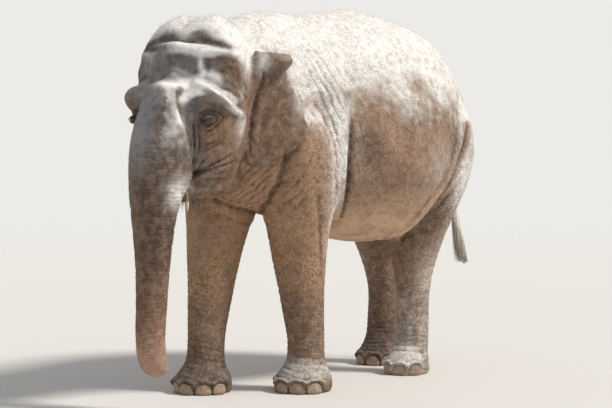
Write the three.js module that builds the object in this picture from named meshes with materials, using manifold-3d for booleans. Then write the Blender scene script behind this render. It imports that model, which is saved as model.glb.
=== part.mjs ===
// An adult Asian elephant cow standing in mid-stride, as a still life-size model of separate closed pieces.
// Millimetres. The cow faces -Y, +X is her left side and +Z is up. She stands on the plane z = 0.
import * as THREE from "three";
import { mergeVertices } from "three/addons/utils/BufferGeometryUtils.js";
import Module from "manifold-3d";

const wasm = await Module();
wasm.setup();

// ---- Driving sizes ------------------------------------------------------------------------------
const GAP = 0.4; // clearance between neighbouring pieces
const NECK_SPLIT_Y = -865; // the plane that parts the neck from the torso
const HEAD_PLACE = [-8, -1042, 1578]; // midway between the ear roots, level with the eyes
const HEAD_YAW = 12; // degrees that the head is turned to the cow's left
const EYE = { at: [240, -380, 4], radius: 21 };
const TUSH = { root: [128, -452, -350], tip: [150, -448, -492], radius: 13, taper: 0.6 };

const HIDE = { color: 0x8a7a6c, roughness: 0.85 };
const WET_EYE = { color: 0x2a1a10, roughness: 0.2 };
const IVORY = { color: 0xe6dcc2, roughness: 0.4 };
const HORN = { color: 0xb9a184, roughness: 0.6 };

// centre lines of the four legs, from the sole up: height, x, y
const STANCE = {
  front_left: [
    [0, 209, -455],
    [70, 209, -455],
    [200, 209, -436],
    [310, 209, -436],
    [530, 203, -462],
    [820, 194, -486],
    [1090, 208, -518],
    [1240, 222, -535],
    [1420, 226, -545],
    [1600, 212, -560],
    [1780, 180, -570],
    [1920, 150, -570],
  ],
  front_right: [
    [0, -209, -865],
    [70, -209, -865],
    [200, -209, -846],
    [310, -208, -840],
    [530, -205, -814],
    [820, -199, -778],
    [1090, -208, -722],
    [1240, -222, -684],
    [1420, -226, -640],
    [1600, -212, -600],
    [1780, -180, -570],
    [1920, -150, -570],
  ],
  hind_left: [
    [0, 211, 535],
    [70, 211, 537],
    [200, 211, 580],
    [330, 211, 590],
    [560, 211, 594],
    [820, 228, 614],
    [1040, 256, 650],
    [1230, 280, 684],
    [1410, 286, 700],
    [1600, 268, 706],
    [1780, 215, 706],
    [1920, 170, 706],
  ],
  hind_right: [
    [0, -208, 782],
    [70, -208, 784],
    [200, -208, 822],
    [330, -208, 828],
    [560, -210, 836],
    [820, -228, 808],
    [1040, -256, 768],
    [1230, -280, 740],
    [1410, -286, 716],
    [1600, -268, 706],
    [1780, -215, 706],
    [1920, -170, 706],
  ],
};

// ---- Girth of each part, one row per level ------------------------------------------------------
// torso and neck: y, top, bottom, half width, height of the widest line, power of the section
const BODY_LEVELS = [
  [-1140, 1985, 1305, 250, 1660, 2.2],
  [-1005, 2085, 1190, 298, 1640, 2.2],
  [-820, 2168, 1100, 340, 1590, 2.2],
  [-615, 2203, 1043, 385, 1520, 2.2],
  [-365, 2190, 978, 462, 1460, 2.2],
  [-78, 2218, 893, 566, 1400, 2.2],
  [190, 2235, 832, 606, 1370, 2.2],
  [412, 2208, 828, 594, 1370, 2.2],
  [614, 2152, 868, 538, 1400, 2.2],
  [787, 2062, 945, 470, 1440, 2.15],
  [940, 1938, 1040, 398, 1470, 2.1],
  [1040, 1812, 1130, 322, 1480, 2.1],
  [1104, 1690, 1235, 236, 1480, 2.1],
  [1140, 1570, 1370, 110, 1475, 2],
];
// head, in its own frame: height, front, back, half width, y of the widest line, power
const HEAD_LEVELS = [
  [-330, -370, 50, 232, -130, 2.2],
  [-240, -396, 60, 268, -145, 2.3],
  [-150, -415, 70, 294, -170, 2.4],
  [0, -440, 80, 314, -170, 2.4],
  [110, -440, 95, 328, -175, 2.5],
  [200, -385, 105, 326, -170, 2.5],
  [300, -348, 110, 322, -155, 2.5],
  [400, -318, 105, 300, -135, 2.5],
  [475, -270, 85, 254, -110, 2.4],
  [525, -215, 50, 196, -90, 2.3],
  [556, -150, 0, 112, -75, 2.1],
];
// trunk, in the head's frame: y, z, half width, half depth towards the front and the back
const TRUNK_LEVELS = [
  [-296, 250, 52, 56, 60],
  [-342, 208, 92, 96, 100],
  [-392, 118, 126, 128, 130],
  [-448, 0, 158, 136, 150],
  [-492, -125, 172, 132, 150],
  [-520, -255, 166, 130, 145],
  [-543, -400, 146, 128, 132],
  [-553, -540, 124, 116, 116],
  [-560, -700, 104, 102, 102],
  [-567, -850, 92, 92, 92],
  [-578, -1020, 86, 85, 86],
  [-590, -1160, 82, 80, 84],
  [-576, -1272, 80, 76, 80],
  [-536, -1332, 74, 66, 70],
  [-486, -1336, 58, 50, 56],
];
// jaw, in the head's frame: y, z, half width, half height
const JAW_LEVELS = [
  [95, -290, 222, 112],
  [-60, -338, 228, 108],
  [-215, -364, 196, 92],
  [-330, -374, 146, 72],
  [-410, -367, 88, 50],
  [-452, -352, 32, 20],
];
// legs: height, half width, half depth to the front, half depth to the back
const FORELEG_LEVELS = [
  [0, 160, 172, 158],
  [55, 170, 182, 166],
  [95, 160, 170, 154],
  [140, 132, 140, 126],
  [195, 113, 116, 110],
  [310, 110, 112, 108],
  [420, 118, 126, 114],
  [540, 130, 134, 130],
  [700, 146, 154, 150],
  [850, 166, 172, 172],
  [960, 180, 186, 208],
  [1090, 208, 206, 250],
  [1240, 232, 226, 288],
  [1420, 242, 236, 300],
  [1600, 222, 222, 270],
  [1780, 162, 160, 180],
  [1920, 70, 70, 70],
];
const HIND_LEG_LEVELS = [
  [0, 130, 148, 146],
  [50, 138, 156, 150],
  [100, 124, 140, 134],
  [150, 110, 118, 116],
  [220, 104, 108, 110],
  [340, 100, 104, 110],
  [460, 100, 104, 108],
  [580, 112, 126, 120],
  [700, 130, 158, 142],
  [860, 162, 216, 180],
  [1040, 204, 268, 220],
  [1230, 240, 306, 245],
  [1410, 252, 300, 262],
  [1600, 236, 250, 250],
  [1780, 160, 160, 180],
  [1920, 70, 70, 80],
];
// tail: x, y, z, radius
const TAIL_LEVELS = [
  [0, 1085, 1710, 60],
  [5, 1158, 1620, 50],
  [20, 1190, 1460, 38],
  [48, 1198, 1230, 28],
  [84, 1196, 1030, 22],
  [122, 1196, 840, 18],
  [150, 1210, 710, 14],
  [160, 1220, 650, 6],
];

// ---- Small tools --------------------------------------------------------------------------------
const vector = (x, y, z) => new THREE.Vector3(x, y, z);
const radians = THREE.MathUtils.degToRad;

// A smooth run through the rows of a table, read at one value of the rows' first number.
function readTable(rows, at) {
  const last = rows.length - 1;
  const low = Math.max(0, rows.findLastIndex((row) => row[0] <= at));
  const i = Math.min(low, last - 1);
  const [a, b] = [rows[i], rows[i + 1]];
  const slope = (k, column) => {
    const [before, after] = [rows[Math.max(0, k - 1)], rows[Math.min(last, k + 1)]];
    return (after[column] - before[column]) / (after[0] - before[0]);
  };
  const span = b[0] - a[0];
  const t = (at - a[0]) / span;
  const back = 1 - t;
  return a.map((_, column) => {
    const [leave, arrive] = [slope(i, column) * span, slope(i + 1, column) * span];
    const between = a[column] * back ** 2 * (1 + 2 * t) + b[column] * t ** 2 * (3 - 2 * t);
    return between + leave * t * back ** 2 - arrive * t ** 2 * back;
  });
}

// evenly spaced values from one number to another, both ends included
function spread(from, to, count) {
  return Array.from({ length: count }, (_, i) => from + ((to - from) * i) / (count - 1));
}

// The outline of a rounded section, as [across, along] pairs. The halves of "along" may differ.
function section(sides, across, ahead, behind, power = 2) {
  const bend = (value) => Math.sign(value) * Math.abs(value) ** (2 / power);
  return Array.from({ length: sides }, (_, i) => {
    const angle = (2 * Math.PI * (i + 0.5)) / sides;
    const along = bend(Math.sin(angle));
    return [across * bend(Math.cos(angle)), along * (along > 0 ? ahead : behind)];
  });
}

function signedVolume(positions, index) {
  let sum = 0;
  for (let i = 0; i < index.length; i += 3) {
    const [a, b, c] = [0, 1, 2].map((k) => positions[index[i + k]]);
    sum += a.dot(b.clone().cross(c));
  }
  return sum;
}

// A closed skin over rings of points, with a fan over each end.
function loft(rings) {
  const sides = rings[0].length;
  const middle = (ring) => ring.reduce((sum, p) => sum.add(p), vector(0, 0, 0)).divideScalar(sides);
  const positions = [...rings.flat(), middle(rings[0]), middle(rings.at(-1))];
  const [firstPole, lastPole] = [positions.length - 2, positions.length - 1];
  const lastRing = (rings.length - 1) * sides;
  const index = [];
  for (let i = 0; i < sides; i++) {
    const next = (i + 1) % sides;
    for (let start = 0; start < lastRing; start += sides) {
      index.push(start + i, start + next, start + sides + next);
      index.push(start + i, start + sides + next, start + sides + i);
    }
    index.push(firstPole, next, i, lastPole, lastRing + i, lastRing + next);
  }
  if (signedVolume(positions, index) < 0) index.reverse();
  return new THREE.BufferGeometry().setFromPoints(positions).setIndex(index);
}

// Raises or sinks soft swellings, on both sides: each moves the points near "at" by "push",
// fading over "reach".
function sculpt(geometry, swellings) {
  const place = geometry.getAttribute("position");
  for (let i = 0; i < place.count; i++) {
    const rest = vector(0, 0, 0).fromBufferAttribute(place, i);
    const moved = rest.clone();
    for (const { at, reach, push } of swellings)
      for (const side of at[0] === 0 ? [1] : [1, -1]) {
        const away = [rest.x - side * at[0], rest.y - at[1], rest.z - at[2]].map((d, k) => d / reach[k]);
        const share = Math.exp(-away.reduce((sum, d) => sum + d * d, 0));
        moved.add(vector(side * push[0], push[1], push[2]).multiplyScalar(share));
      }
    place.setXYZ(i, moved.x, moved.y, moved.z);
  }
  return geometry;
}

function solidOf(geometry) {
  const bare = geometry.clone();
  bare.deleteAttribute("normal");
  bare.deleteAttribute("uv");
  const merged = mergeVertices(bare, 1e-3);
  return new wasm.Manifold(
    new wasm.Mesh({
      numProp: 3,
      vertProperties: merged.getAttribute("position").array,
      triVerts: new Uint32Array(merged.index.array),
    }),
  );
}

// What is left of a piece once its neighbours are cut away: the largest body of it.
function cut(geometry, ...neighbours) {
  const rest = neighbours.reduce((left, other) => left.subtract(solidOf(other)), solidOf(geometry));
  const largest = rest.decompose().sort((a, b) => b.volume() - a.volume())[0];
  const mesh = largest.getMesh();
  return new THREE.BufferGeometry()
    .setAttribute("position", new THREE.BufferAttribute(new Float32Array(mesh.vertProperties), 3))
    .setIndex(new THREE.BufferAttribute(mesh.triVerts, 1));
}

// ---- Torso and neck -----------------------------------------------------------------------------
const BODY_SIDES = 30;
const [BODY_FRONT, BODY_BACK] = [BODY_LEVELS[0][0], BODY_LEVELS.at(-1)[0]];
const TORSO_RINGS = 19;
const NECK_RINGS = 5;
const BODY_SWELLINGS = [
  { at: [0, 150, 2250], reach: [70, 850, 90], push: [0, 0, 22] }, // spine ridge
  { at: [330, -540, 1780], reach: [160, 165, 260], push: [26, 0, 0] }, // shoulder blade
  { at: [300, 610, 1985], reach: [150, 180, 150], push: [20, 0, 20] }, // point of the hip
  { at: [420, 470, 1330], reach: [180, 150, 260], push: [-24, 0, 0] }, // hollow ahead of the thigh
  { at: [0, -820, 1230], reach: [110, 160, 160], push: [0, -34, -10] }, // breast
];

function bodyRing(y, grow) {
  const [, top, bottom, halfWidth, widest, power] = readTable(BODY_LEVELS, y);
  const [above, below] = [top - widest + grow, widest - bottom + grow];
  const outline = section(BODY_SIDES, halfWidth + grow, above, below, power);
  return outline.map(([across, along]) => vector(across, y, widest + along));
}

function bodyLength(from, to, count, grow = 0) {
  const rings = spread(from, to, count).map((y) => bodyRing(y, grow));
  return sculpt(loft(rings), BODY_SWELLINGS);
}

const torsoShape = (grow = 0) =>
  bodyLength(NECK_SPLIT_Y - grow, BODY_BACK + grow, TORSO_RINGS, grow);
const neckShape = (grow = 0) =>
  bodyLength(BODY_FRONT, NECK_SPLIT_Y - GAP + grow, NECK_RINGS, grow);

// ---- Head ---------------------------------------------------------------------------------------
const HEAD_SIDES = 26;
const HEAD_RINGS = 18;
const HEAD_SWELLINGS = [
  { at: [112, -85, 545], reach: [105, 140, 90], push: [14, 0, 26] }, // twin domes
  { at: [0, -130, 575], reach: [46, 220, 90], push: [0, 12, -12] }, // groove between them
  { at: [95, -290, 470], reach: [90, 80, 42], push: [0, 34, 0] }, // hollow under each dome
  { at: [110, -330, 400], reach: [130, 80, 45], push: [0, -20, 6] }, // shelf of the forehead
  { at: [0, -350, 285], reach: [150, 90, 80], push: [0, 18, 0] }, // dish of the forehead
  { at: [255, -270, 260], reach: [80, 90, 75], push: [-36, 16, 0] }, // temple hollow
  { at: [262, -350, 135], reach: [85, 80, 58], push: [40, -22, 8] }, // brow
  { at: [330, -230, 90], reach: [60, 90, 50], push: [22, 0, 0] }, // arch behind the eye
  { at: [245, -400, 10], reach: [62, 60, 46], push: [-26, 14, 0] }, // eye pocket
  { at: [310, -190, -60], reach: [90, 120, 70], push: [10, 0, 0] }, // cheek
];

function headShape(grow = 0) {
  const [low, high] = [HEAD_LEVELS[0][0], HEAD_LEVELS.at(-1)[0]];
  const rings = spread(low - grow, high + grow, HEAD_RINGS).map((z) => {
    const [, front, back, halfWidth, widest, power] = readTable(HEAD_LEVELS, z);
    const [behind, ahead] = [back - widest + grow, widest - front + grow];
    const outline = section(HEAD_SIDES, halfWidth + grow, behind, ahead, power);
    return outline.map(([across, along]) => vector(across, widest + along, z));
  });
  return sculpt(loft(rings), HEAD_SWELLINGS);
}

// ---- Bent tubes: trunk, jaw, tail and tushes ----------------------------------------------------
// Rings square to the run of a centre line. Each row is [x, y, z, half width, half depth above,
// half depth below].
function bentTube(rows, sides, from, to, count, grow = 0) {
  const line = new THREE.CatmullRomCurve3(rows.map(([x, y, z]) => vector(x, y, z)));
  const girths = rows.map((row, i) => [i / (rows.length - 1), ...row.slice(3)]);
  const rings = spread(from, to, count).map((t, i) => {
    const [, across, above, below] = readTable(girths, t);
    const run = line.getTangent(t);
    const lengthen = i === 0 ? -grow : i === count - 1 ? grow : 0;
    const middle = line.getPoint(t).addScaledVector(run, lengthen);
    const side = vector(1, 0, 0).addScaledVector(run, -run.x).normalize();
    const up = side.clone().cross(run);
    return section(sides, across + grow, above + grow, below + grow).map(([u, v]) =>
      middle.clone().addScaledVector(side, u).addScaledVector(up, v),
    );
  });
  return loft(rings);
}

const TRUNK_SIDES = 16;
const JAW_SIDES = 14;
const JAW_RINGS = 8;
const TUSH_SIDES = 6;
const TUSH_RINGS = 5;
const TAIL_SIDES = 8;
const RINGS_ALONG = { trunk: 25, tail: 14 };
// shares of each centre line, with a hair's gap between one length and the next
const TRUNK_PARTS = { trunk_upper: [0, 0.4], trunk_middle: [0.4003, 0.69], trunk_tip: [0.6903, 1] };
const TAIL_PARTS = { tail_root: [0, 0.36], tail_middle: [0.3605, 0.7], tail_tip: [0.7005, 1] };
const TAIL_ROOM = 4 * GAP; // the rump slopes steeply where the tail leaves it
const TRUNK_SWELLINGS = [
  { at: [135, -440, -330], reach: [60, 80, 110], push: [28, 26, -4] }, // sheath round each tush
  { at: [0, -480, 170], reach: [90, 90, 60], push: [0, -16, 12] }, // bump over the nose
];

function trunkLength([from, to], grow = 0) {
  const rows = TRUNK_LEVELS.map(([y, z, across, front, back]) => [0, y, z, across, back, front]);
  const count = Math.round(RINGS_ALONG.trunk * (to - from)) + 1;
  return sculpt(bentTube(rows, TRUNK_SIDES, from, to, count, grow), TRUNK_SWELLINGS);
}

function jawShape(grow = 0) {
  const rows = JAW_LEVELS.map(([y, z, across, half]) => [0, y, z, across, half, half]);
  return bentTube(rows, JAW_SIDES, 0, 1, JAW_RINGS, grow);
}

function tushShape(side, grow = 0) {
  const { root, tip, radius, taper } = TUSH;
  const rows = [0, 0.5, 1].map((t) => {
    const [x, y, z] = root.map((start, k) => start + (tip[k] - start) * t);
    const girth = radius * (1 - taper * t ** 2);
    return [side * x, y, z, girth, girth, girth];
  });
  return bentTube(rows, TUSH_SIDES, 0, 1, TUSH_RINGS, grow);
}

function tailLength([from, to]) {
  const rows = TAIL_LEVELS.map(([x, y, z, radius]) => [x, y, z, radius, radius, radius]);
  return bentTube(rows, TAIL_SIDES, from, to, Math.round(RINGS_ALONG.tail * (to - from)) + 1);
}

// ---- Ears: thin curved sheets -------------------------------------------------------------------
const EAR = { root: [300, -12], sweep: [190, 276], bulge: 26, droop: 30, thickRoot: 24, thickEdge: 9 };
const EAR_STEPS = 7; // from the root to the free edge
// down the ear: height, where each row starts and ends along the sweep, how far it stands out.
// The first rows are the top margin, which folds over outwards and hangs down.
const EAR_LEVELS = [
  [282, 0.2, 0.52, 46],
  [335, 0.12, 0.66, 52],
  [384, 0.02, 0.66, 30],
  [352, 0, 0.62, 2],
  [290, -0.02, 0.6, 0],
  [205, -0.04, 0.76, 0],
  [100, -0.06, 0.94, 0],
  [-20, -0.08, 1.03, 4],
  [-95, -0.1, 0.93, 6],
  [-165, -0.12, 0.66, 4],
  [-225, -0.1, 0.36, 0],
  [-262, -0.04, 0.14, 0],
];

function earSurface(u, v) {
  const rows = EAR_LEVELS.map((row, i) => [i / (EAR_LEVELS.length - 1), ...row]);
  const [, z, start, end, lift] = readTable(rows, v);
  const { root, sweep, bulge, droop } = EAR;
  const along = start + (end - start) * u;
  const out = bulge * Math.sin(Math.PI * Math.max(0, along)) + lift * Math.min(1, 0.3 + u);
  const [outX, outY] = [sweep[1], -sweep[0]].map((k) => k / Math.hypot(...sweep));
  const [x, y] = [outX, outY].map((away, k) => root[k] + sweep[k] * along + away * out);
  return vector(x, y, z - droop * along);
}

function earShape(side) {
  const { thickRoot, thickEdge } = EAR;
  const step = 0.01; // how far apart the surface is read to find which way it faces
  const faces = [1, -1].map((face) =>
    spread(0, 1, EAR_LEVELS.length).map((v) =>
      spread(0, 1, EAR_STEPS).map((u) => {
        const [here, uAt, vAt] = [earSurface(u, v), Math.min(u, 1 - step), Math.min(v, 1 - step)];
        const corner = earSurface(uAt, vAt);
        const alongU = earSurface(uAt + step, vAt).sub(corner);
        const alongV = earSurface(uAt, vAt + step).sub(corner);
        const normal = alongV.cross(alongU).normalize();
        const thinned = Math.max(u, Math.abs(2 * v - 1) ** 3);
        const half = (thickRoot + (thickEdge - thickRoot) * thinned) / 2;
        return here.addScaledVector(normal, face * half).multiply(vector(side, 1, 1));
      }),
    ),
  );
  return closeSheet(faces);
}

// Joins two grids of points, one for each face of a sheet, round their rims.
function closeSheet([front, back]) {
  const [down, across] = [front.length, front[0].length];
  const positions = [...front.flat(), ...back.flat()];
  const point = (face, i, j) => face * down * across + i * across + j;
  const index = [];
  const quad = (a, b, c, d) => index.push(a, b, c, a, c, d);
  for (let i = 0; i + 1 < down; i++) {
    for (let j = 0; j + 1 < across; j++) {
      quad(point(0, i, j), point(0, i + 1, j), point(0, i + 1, j + 1), point(0, i, j + 1));
      quad(point(1, i, j), point(1, i, j + 1), point(1, i + 1, j + 1), point(1, i + 1, j));
    }
    quad(point(0, i, 0), point(1, i, 0), point(1, i + 1, 0), point(0, i + 1, 0));
    const edge = across - 1;
    quad(point(0, i, edge), point(0, i + 1, edge), point(1, i + 1, edge), point(1, i, edge));
  }
  for (let j = 0; j + 1 < across; j++) {
    quad(point(0, 0, j), point(0, 0, j + 1), point(1, 0, j + 1), point(1, 0, j));
    const foot = down - 1;
    quad(point(0, foot, j), point(1, foot, j), point(1, foot, j + 1), point(0, foot, j + 1));
  }
  if (signedVolume(positions, index) < 0) index.reverse();
  return new THREE.BufferGeometry().setFromPoints(positions).setIndex(index);
}

// ---- Legs, feet and toenails --------------------------------------------------------------------
const LEG_SIDES = 14;
const LEG_POWER = 2.1;
const FOOT_TOP = 215;
const KNEE = { front: 560, hind: 600 };
const LEG_TOP = 1920;
const FOOT_RINGS = 7;
const LOWER_LEG_RINGS = 5;
const UPPER_LEG_RINGS = 12;
const NAILS = {
  front: { angles: [-78, -43, -8, 27, 62], half: [46, 30, 37], rise: 12, height: 40 },
  hind: { angles: [-60, -22, 18, 58], half: [43, 28, 36], rise: 12, height: 39 },
};

function legLength(place, from, to, count, grow = 0) {
  const levels = place.startsWith("front") ? FORELEG_LEVELS : HIND_LEG_LEVELS;
  const rings = spread(from, to, count).map((z) => {
    const [, across, front, back] = readTable(levels, z);
    const [, x, y] = readTable(STANCE[place], z);
    const outline = section(LEG_SIDES, across + grow, back + grow, front + grow, LEG_POWER);
    return outline.map(([u, v]) => vector(x + u, y + v, z));
  });
  return loft(rings);
}

const footShape = (place, grow = 0) => legLength(place, 0, FOOT_TOP, FOOT_RINGS, grow);

// A nail is a flattened ball that stands out of the front of the foot, at a bearing from straight
// ahead.
const NAIL_SIDES = 8;
const NAIL_RINGS = 4;
function nailShape(place, bearing) {
  const { half, rise, height } = NAILS[place.split("_")[0]];
  const levels = place.startsWith("front") ? FORELEG_LEVELS : HIND_LEG_LEVELS;
  const [, across, front] = readTable(levels, height);
  const [, x, y] = readTable(STANCE[place], height);
  const outward = place.endsWith("left") ? 1 : -1;
  const angle = radians(bearing) * outward;
  const reach = 1 / Math.hypot(Math.sin(angle) / across, Math.cos(angle) / front) + rise - half[1];
  const ball = new THREE.SphereGeometry(1, NAIL_SIDES, NAIL_RINGS);
  ball.scale(...half);
  ball.rotateZ(angle);
  ball.translate(x + Math.sin(angle) * reach, y - Math.cos(angle) * reach, height);
  return ball;
}

// ---- Assembly -----------------------------------------------------------------------------------
const root = new THREE.Group();
root.name = "asian_elephant";
const headFrame = new THREE.Group();
headFrame.name = "head_frame";
headFrame.position.set(...HEAD_PLACE);
headFrame.rotation.z = radians(HEAD_YAW);
root.add(headFrame);
root.updateMatrixWorld(true);

const fromHead = (geometry) => geometry.clone().applyMatrix4(headFrame.matrixWorld);

function addPiece(parent, name, geometry, finish = HIDE) {
  const mesh = new THREE.Mesh(geometry, new THREE.MeshStandardMaterial(finish));
  mesh.name = name;
  parent.add(mesh);
}

addPiece(root, "torso", torsoShape());
addPiece(root, "neck", cut(neckShape(), fromHead(headShape(GAP)), fromHead(jawShape(GAP))));

function eyeShape(side, grow = 0) {
  const [x, y, z] = EYE.at;
  return new THREE.SphereGeometry(EYE.radius + grow, 10, 6).translate(side * x, y, z);
}

const { trunk_upper: upperTrunk, trunk_middle: middleTrunk, trunk_tip: trunkTip } = TRUNK_PARTS;
const trunkRoom = [trunkLength(upperTrunk, GAP), trunkLength(middleTrunk, GAP)];
addPiece(headFrame, "head", cut(headShape(), eyeShape(1, GAP), eyeShape(-1, GAP)));
addPiece(headFrame, "jaw", cut(jawShape(), headShape(GAP), ...trunkRoom));
addPiece(headFrame, "trunk_upper", cut(trunkLength(upperTrunk), headShape(GAP)));
addPiece(headFrame, "trunk_middle", trunkLength(middleTrunk));
addPiece(headFrame, "trunk_tip", trunkLength(trunkTip));

const toHead = new THREE.Matrix4().copy(headFrame.matrixWorld).invert();
const besideEars = neckShape(GAP).applyMatrix4(toHead);
for (const [name, side] of Object.entries({ left: 1, right: -1 })) {
  addPiece(headFrame, `eye_${name}`, eyeShape(side), WET_EYE);
  addPiece(headFrame, `tush_${name}`, cut(tushShape(side), ...trunkRoom, jawShape(GAP)), IVORY);
  addPiece(headFrame, `ear_${name}`, cut(earShape(side), headShape(GAP), besideEars));
}

for (const place of Object.keys(STANCE)) {
  const kind = place.split("_")[0];
  const lower = legLength(place, FOOT_TOP + GAP, KNEE[kind], LOWER_LEG_RINGS);
  const upper = legLength(place, KNEE[kind] + GAP, LEG_TOP, UPPER_LEG_RINGS);
  addPiece(root, `foot_${place}`, footShape(place));
  addPiece(root, `lower_leg_${place}`, lower);
  addPiece(root, `upper_leg_${place}`, cut(upper, torsoShape(GAP), neckShape(GAP)));
  NAILS[kind].angles.forEach((bearing, i) => {
    const nail = cut(nailShape(place, bearing), footShape(place, GAP));
    addPiece(root, `nail_${place}_${i + 1}`, nail, HORN);
  });
}

addPiece(root, "tail_root", cut(tailLength(TAIL_PARTS.tail_root), torsoShape(TAIL_ROOM)));
addPiece(root, "tail_middle", tailLength(TAIL_PARTS.tail_middle));
addPiece(root, "tail_tip", tailLength(TAIL_PARTS.tail_tip));

// the origin lies on the floor, under the middle of the whole animal
const box = new THREE.Box3().setFromObject(root);
const middle = box.getCenter(vector(0, 0, 0));
root.position.set(-middle.x, -middle.y, -box.min.z);

export default root;
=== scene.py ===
# %% [markdown]
# # An Asian elephant cow, standing still
# The real animal is one bag of thick, wrinkled hide over heavy muscle, about 2.2 m at the shoulder.
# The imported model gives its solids: torso, head, legs, trunk, ears and tail. They are the measure of
# everything here. This lesson lays one skin over them, sculpts the folds, finishes the hide, and adds
# eyes, tushes, toenails and bristles.

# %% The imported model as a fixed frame
import math

import bmesh
import bpy
import numpy as np
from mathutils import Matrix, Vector, noise
from mathutils.bvhtree import BVHTree
from mathutils.kdtree import KDTree


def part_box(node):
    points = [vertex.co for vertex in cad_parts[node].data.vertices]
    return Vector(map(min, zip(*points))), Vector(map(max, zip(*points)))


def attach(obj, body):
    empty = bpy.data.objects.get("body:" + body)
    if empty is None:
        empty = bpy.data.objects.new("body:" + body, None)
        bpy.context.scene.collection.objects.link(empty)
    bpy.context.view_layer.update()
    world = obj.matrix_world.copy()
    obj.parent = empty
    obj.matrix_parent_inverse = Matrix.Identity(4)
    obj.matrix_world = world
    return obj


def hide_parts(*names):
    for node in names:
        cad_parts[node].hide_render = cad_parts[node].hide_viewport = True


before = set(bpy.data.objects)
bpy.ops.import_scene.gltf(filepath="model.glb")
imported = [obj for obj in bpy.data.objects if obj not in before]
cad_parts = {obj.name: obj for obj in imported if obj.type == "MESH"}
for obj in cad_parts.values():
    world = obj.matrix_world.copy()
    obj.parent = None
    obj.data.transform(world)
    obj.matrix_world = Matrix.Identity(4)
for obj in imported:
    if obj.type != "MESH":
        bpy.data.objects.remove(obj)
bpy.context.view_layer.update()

MM = 0.001

# %% [markdown]
# ## Landmarks
# The head is turned to the cow's left, so its features are placed in axes of its own. They start from
# the two eyes, the surest landmarks of a head: across from eye to eye, back from the brow, and up.

# %% Axes of the head
def middle(name):
    low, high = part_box(name)
    return np.array((low + high) / 2)


EYE_AHEAD = 380 * MM  # the eyes lie this far ahead of the head's own origin
UP = np.array([0.0, 0.0, 1.0])
ACROSS = middle("eye_left") - middle("eye_right")
ACROSS /= np.linalg.norm(ACROSS)
BACK = np.cross(UP, ACROSS)
HEAD_AXES = np.array([ACROSS, BACK, UP])
HEAD = (middle("eye_left") + middle("eye_right")) / 2 + BACK * EYE_AHEAD


def in_head(points):
    """Places in the head's own axes, in millimetres: to the left, back, and up from the eyes."""
    return (points - HEAD) @ HEAD_AXES.T / MM


print("head origin", HEAD.round(3), "turned", round(math.degrees(math.atan2(ACROSS[1], ACROSS[0])), 1))

# %% [markdown]
# ## One skin over the solids
# A sculptor would throw one layer of clay over the armature. Here copies of the solids are joined and
# a voxel remesh melts them into one closed surface, so no seam is left between leg and body. Thin
# parts, such as the ears, are first thickened by half a voxel, or the remesh would tear them.

# %% Join the solids of flesh and remesh them
VOXEL = 8 * MM
APART = ("eye_", "tush_", "nail_")
FLESH = sorted(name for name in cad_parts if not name.startswith(APART))
SKINNED = FLESH + ["eye_left", "eye_right"]  # the eyeballs hold the lids out
WELD = 0.01 * MM  # corners nearer than this are one
THICKEN = {"ear": 0.5 * VOXEL, "tail": 0.5 * VOXEL}


def merged_copy(name):
    """A solid as a bmesh whose faces share their corners."""
    piece = bmesh.new()
    piece.from_mesh(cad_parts[name].data)
    bmesh.ops.remove_doubles(piece, verts=piece.verts, dist=WELD)
    piece.normal_update()
    return piece


def thing(name, mesh):
    made = bpy.data.objects.new(name, mesh)
    bpy.context.scene.collection.objects.link(made)
    return made


def shaded_smooth(mesh):
    mesh.polygons.foreach_set("use_smooth", [True] * len(mesh.polygons))


def finished(work, name):
    """A bmesh made an object with smooth faces."""
    mesh = bpy.data.meshes.new(name)
    work.to_mesh(mesh)
    work.free()
    shaded_smooth(mesh)
    return thing(name, mesh)


def applied(made):
    """The mesh of an object with its modifiers worked in."""
    graph = bpy.context.evaluated_depsgraph_get()
    mesh = bpy.data.meshes.new_from_object(made.evaluated_get(graph))
    bpy.data.objects.remove(made)
    return mesh


shell = bmesh.new()
for name in SKINNED:
    piece = merged_copy(name)
    grow = THICKEN.get(name.split("_")[0], 0.5 * MM)
    for vert in piece.verts:
        vert.co += vert.normal * grow
    grown = bpy.data.meshes.new("grown")
    piece.to_mesh(grown)
    shell.from_mesh(grown)
shell_mesh = bpy.data.meshes.new("shell")
shell.to_mesh(shell_mesh)
rough = thing("rough", shell_mesh)
voxels = rough.modifiers.new("voxels", "REMESH")
voxels.mode = "VOXEL"
voxels.voxel_size = VOXEL
skin_mesh = applied(rough)
print("remeshed skin", len(skin_mesh.vertices), "points")

# %% [markdown]
# ## Which part each point belongs to
# A tree over the solids' faces answers, for any point of the skin, which solid it lies on. That gives
# soft masks for the parts, which steer the smoothing, the folds and the colours.

# %% Nearest solid, and averages over neighbours
def tree_of(solids):
    """A search tree over the faces of some solids, and the solid that each face is from."""
    corners, faces, owners = [], [], []
    for name in solids:
        piece = merged_copy(name)
        start = len(corners)
        corners += [v.co.copy() for v in piece.verts]
        faces += [[start + v.index for v in f.verts] for f in piece.faces]
        owners += [name] * len(piece.faces)
    return BVHTree.FromPolygons(corners, faces), owners


def read(items, field, wide=3, kind=np.float32):
    """One field of every item of a mesh, as the rows of an array."""
    flat = np.empty(len(items) * wide, kind)
    items.foreach_get(field, flat)
    return flat.reshape(-1, wide)


def points_of(mesh):
    return read(mesh.vertices, "co").astype(float)


def normals_of(mesh):
    return read(mesh.vertex_normals, "vector").astype(float)


def put_points(mesh, points):
    mesh.vertices.foreach_set("co", points.astype(np.float32).ravel())
    mesh.update()


def links_of(mesh):
    """Every point's neighbours laid end to end, where each point's own list starts, and its length."""
    ends = read(mesh.edges, "vertices", 2, np.int32)
    both = np.concatenate([ends, ends[:, ::-1]])
    both = both[np.argsort(both[:, 0], kind="stable")]
    starts = np.searchsorted(both[:, 0], np.arange(len(mesh.vertices)))
    lengths = np.diff(np.append(starts, len(both)))
    return both[:, 1], starts, lengths


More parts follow.
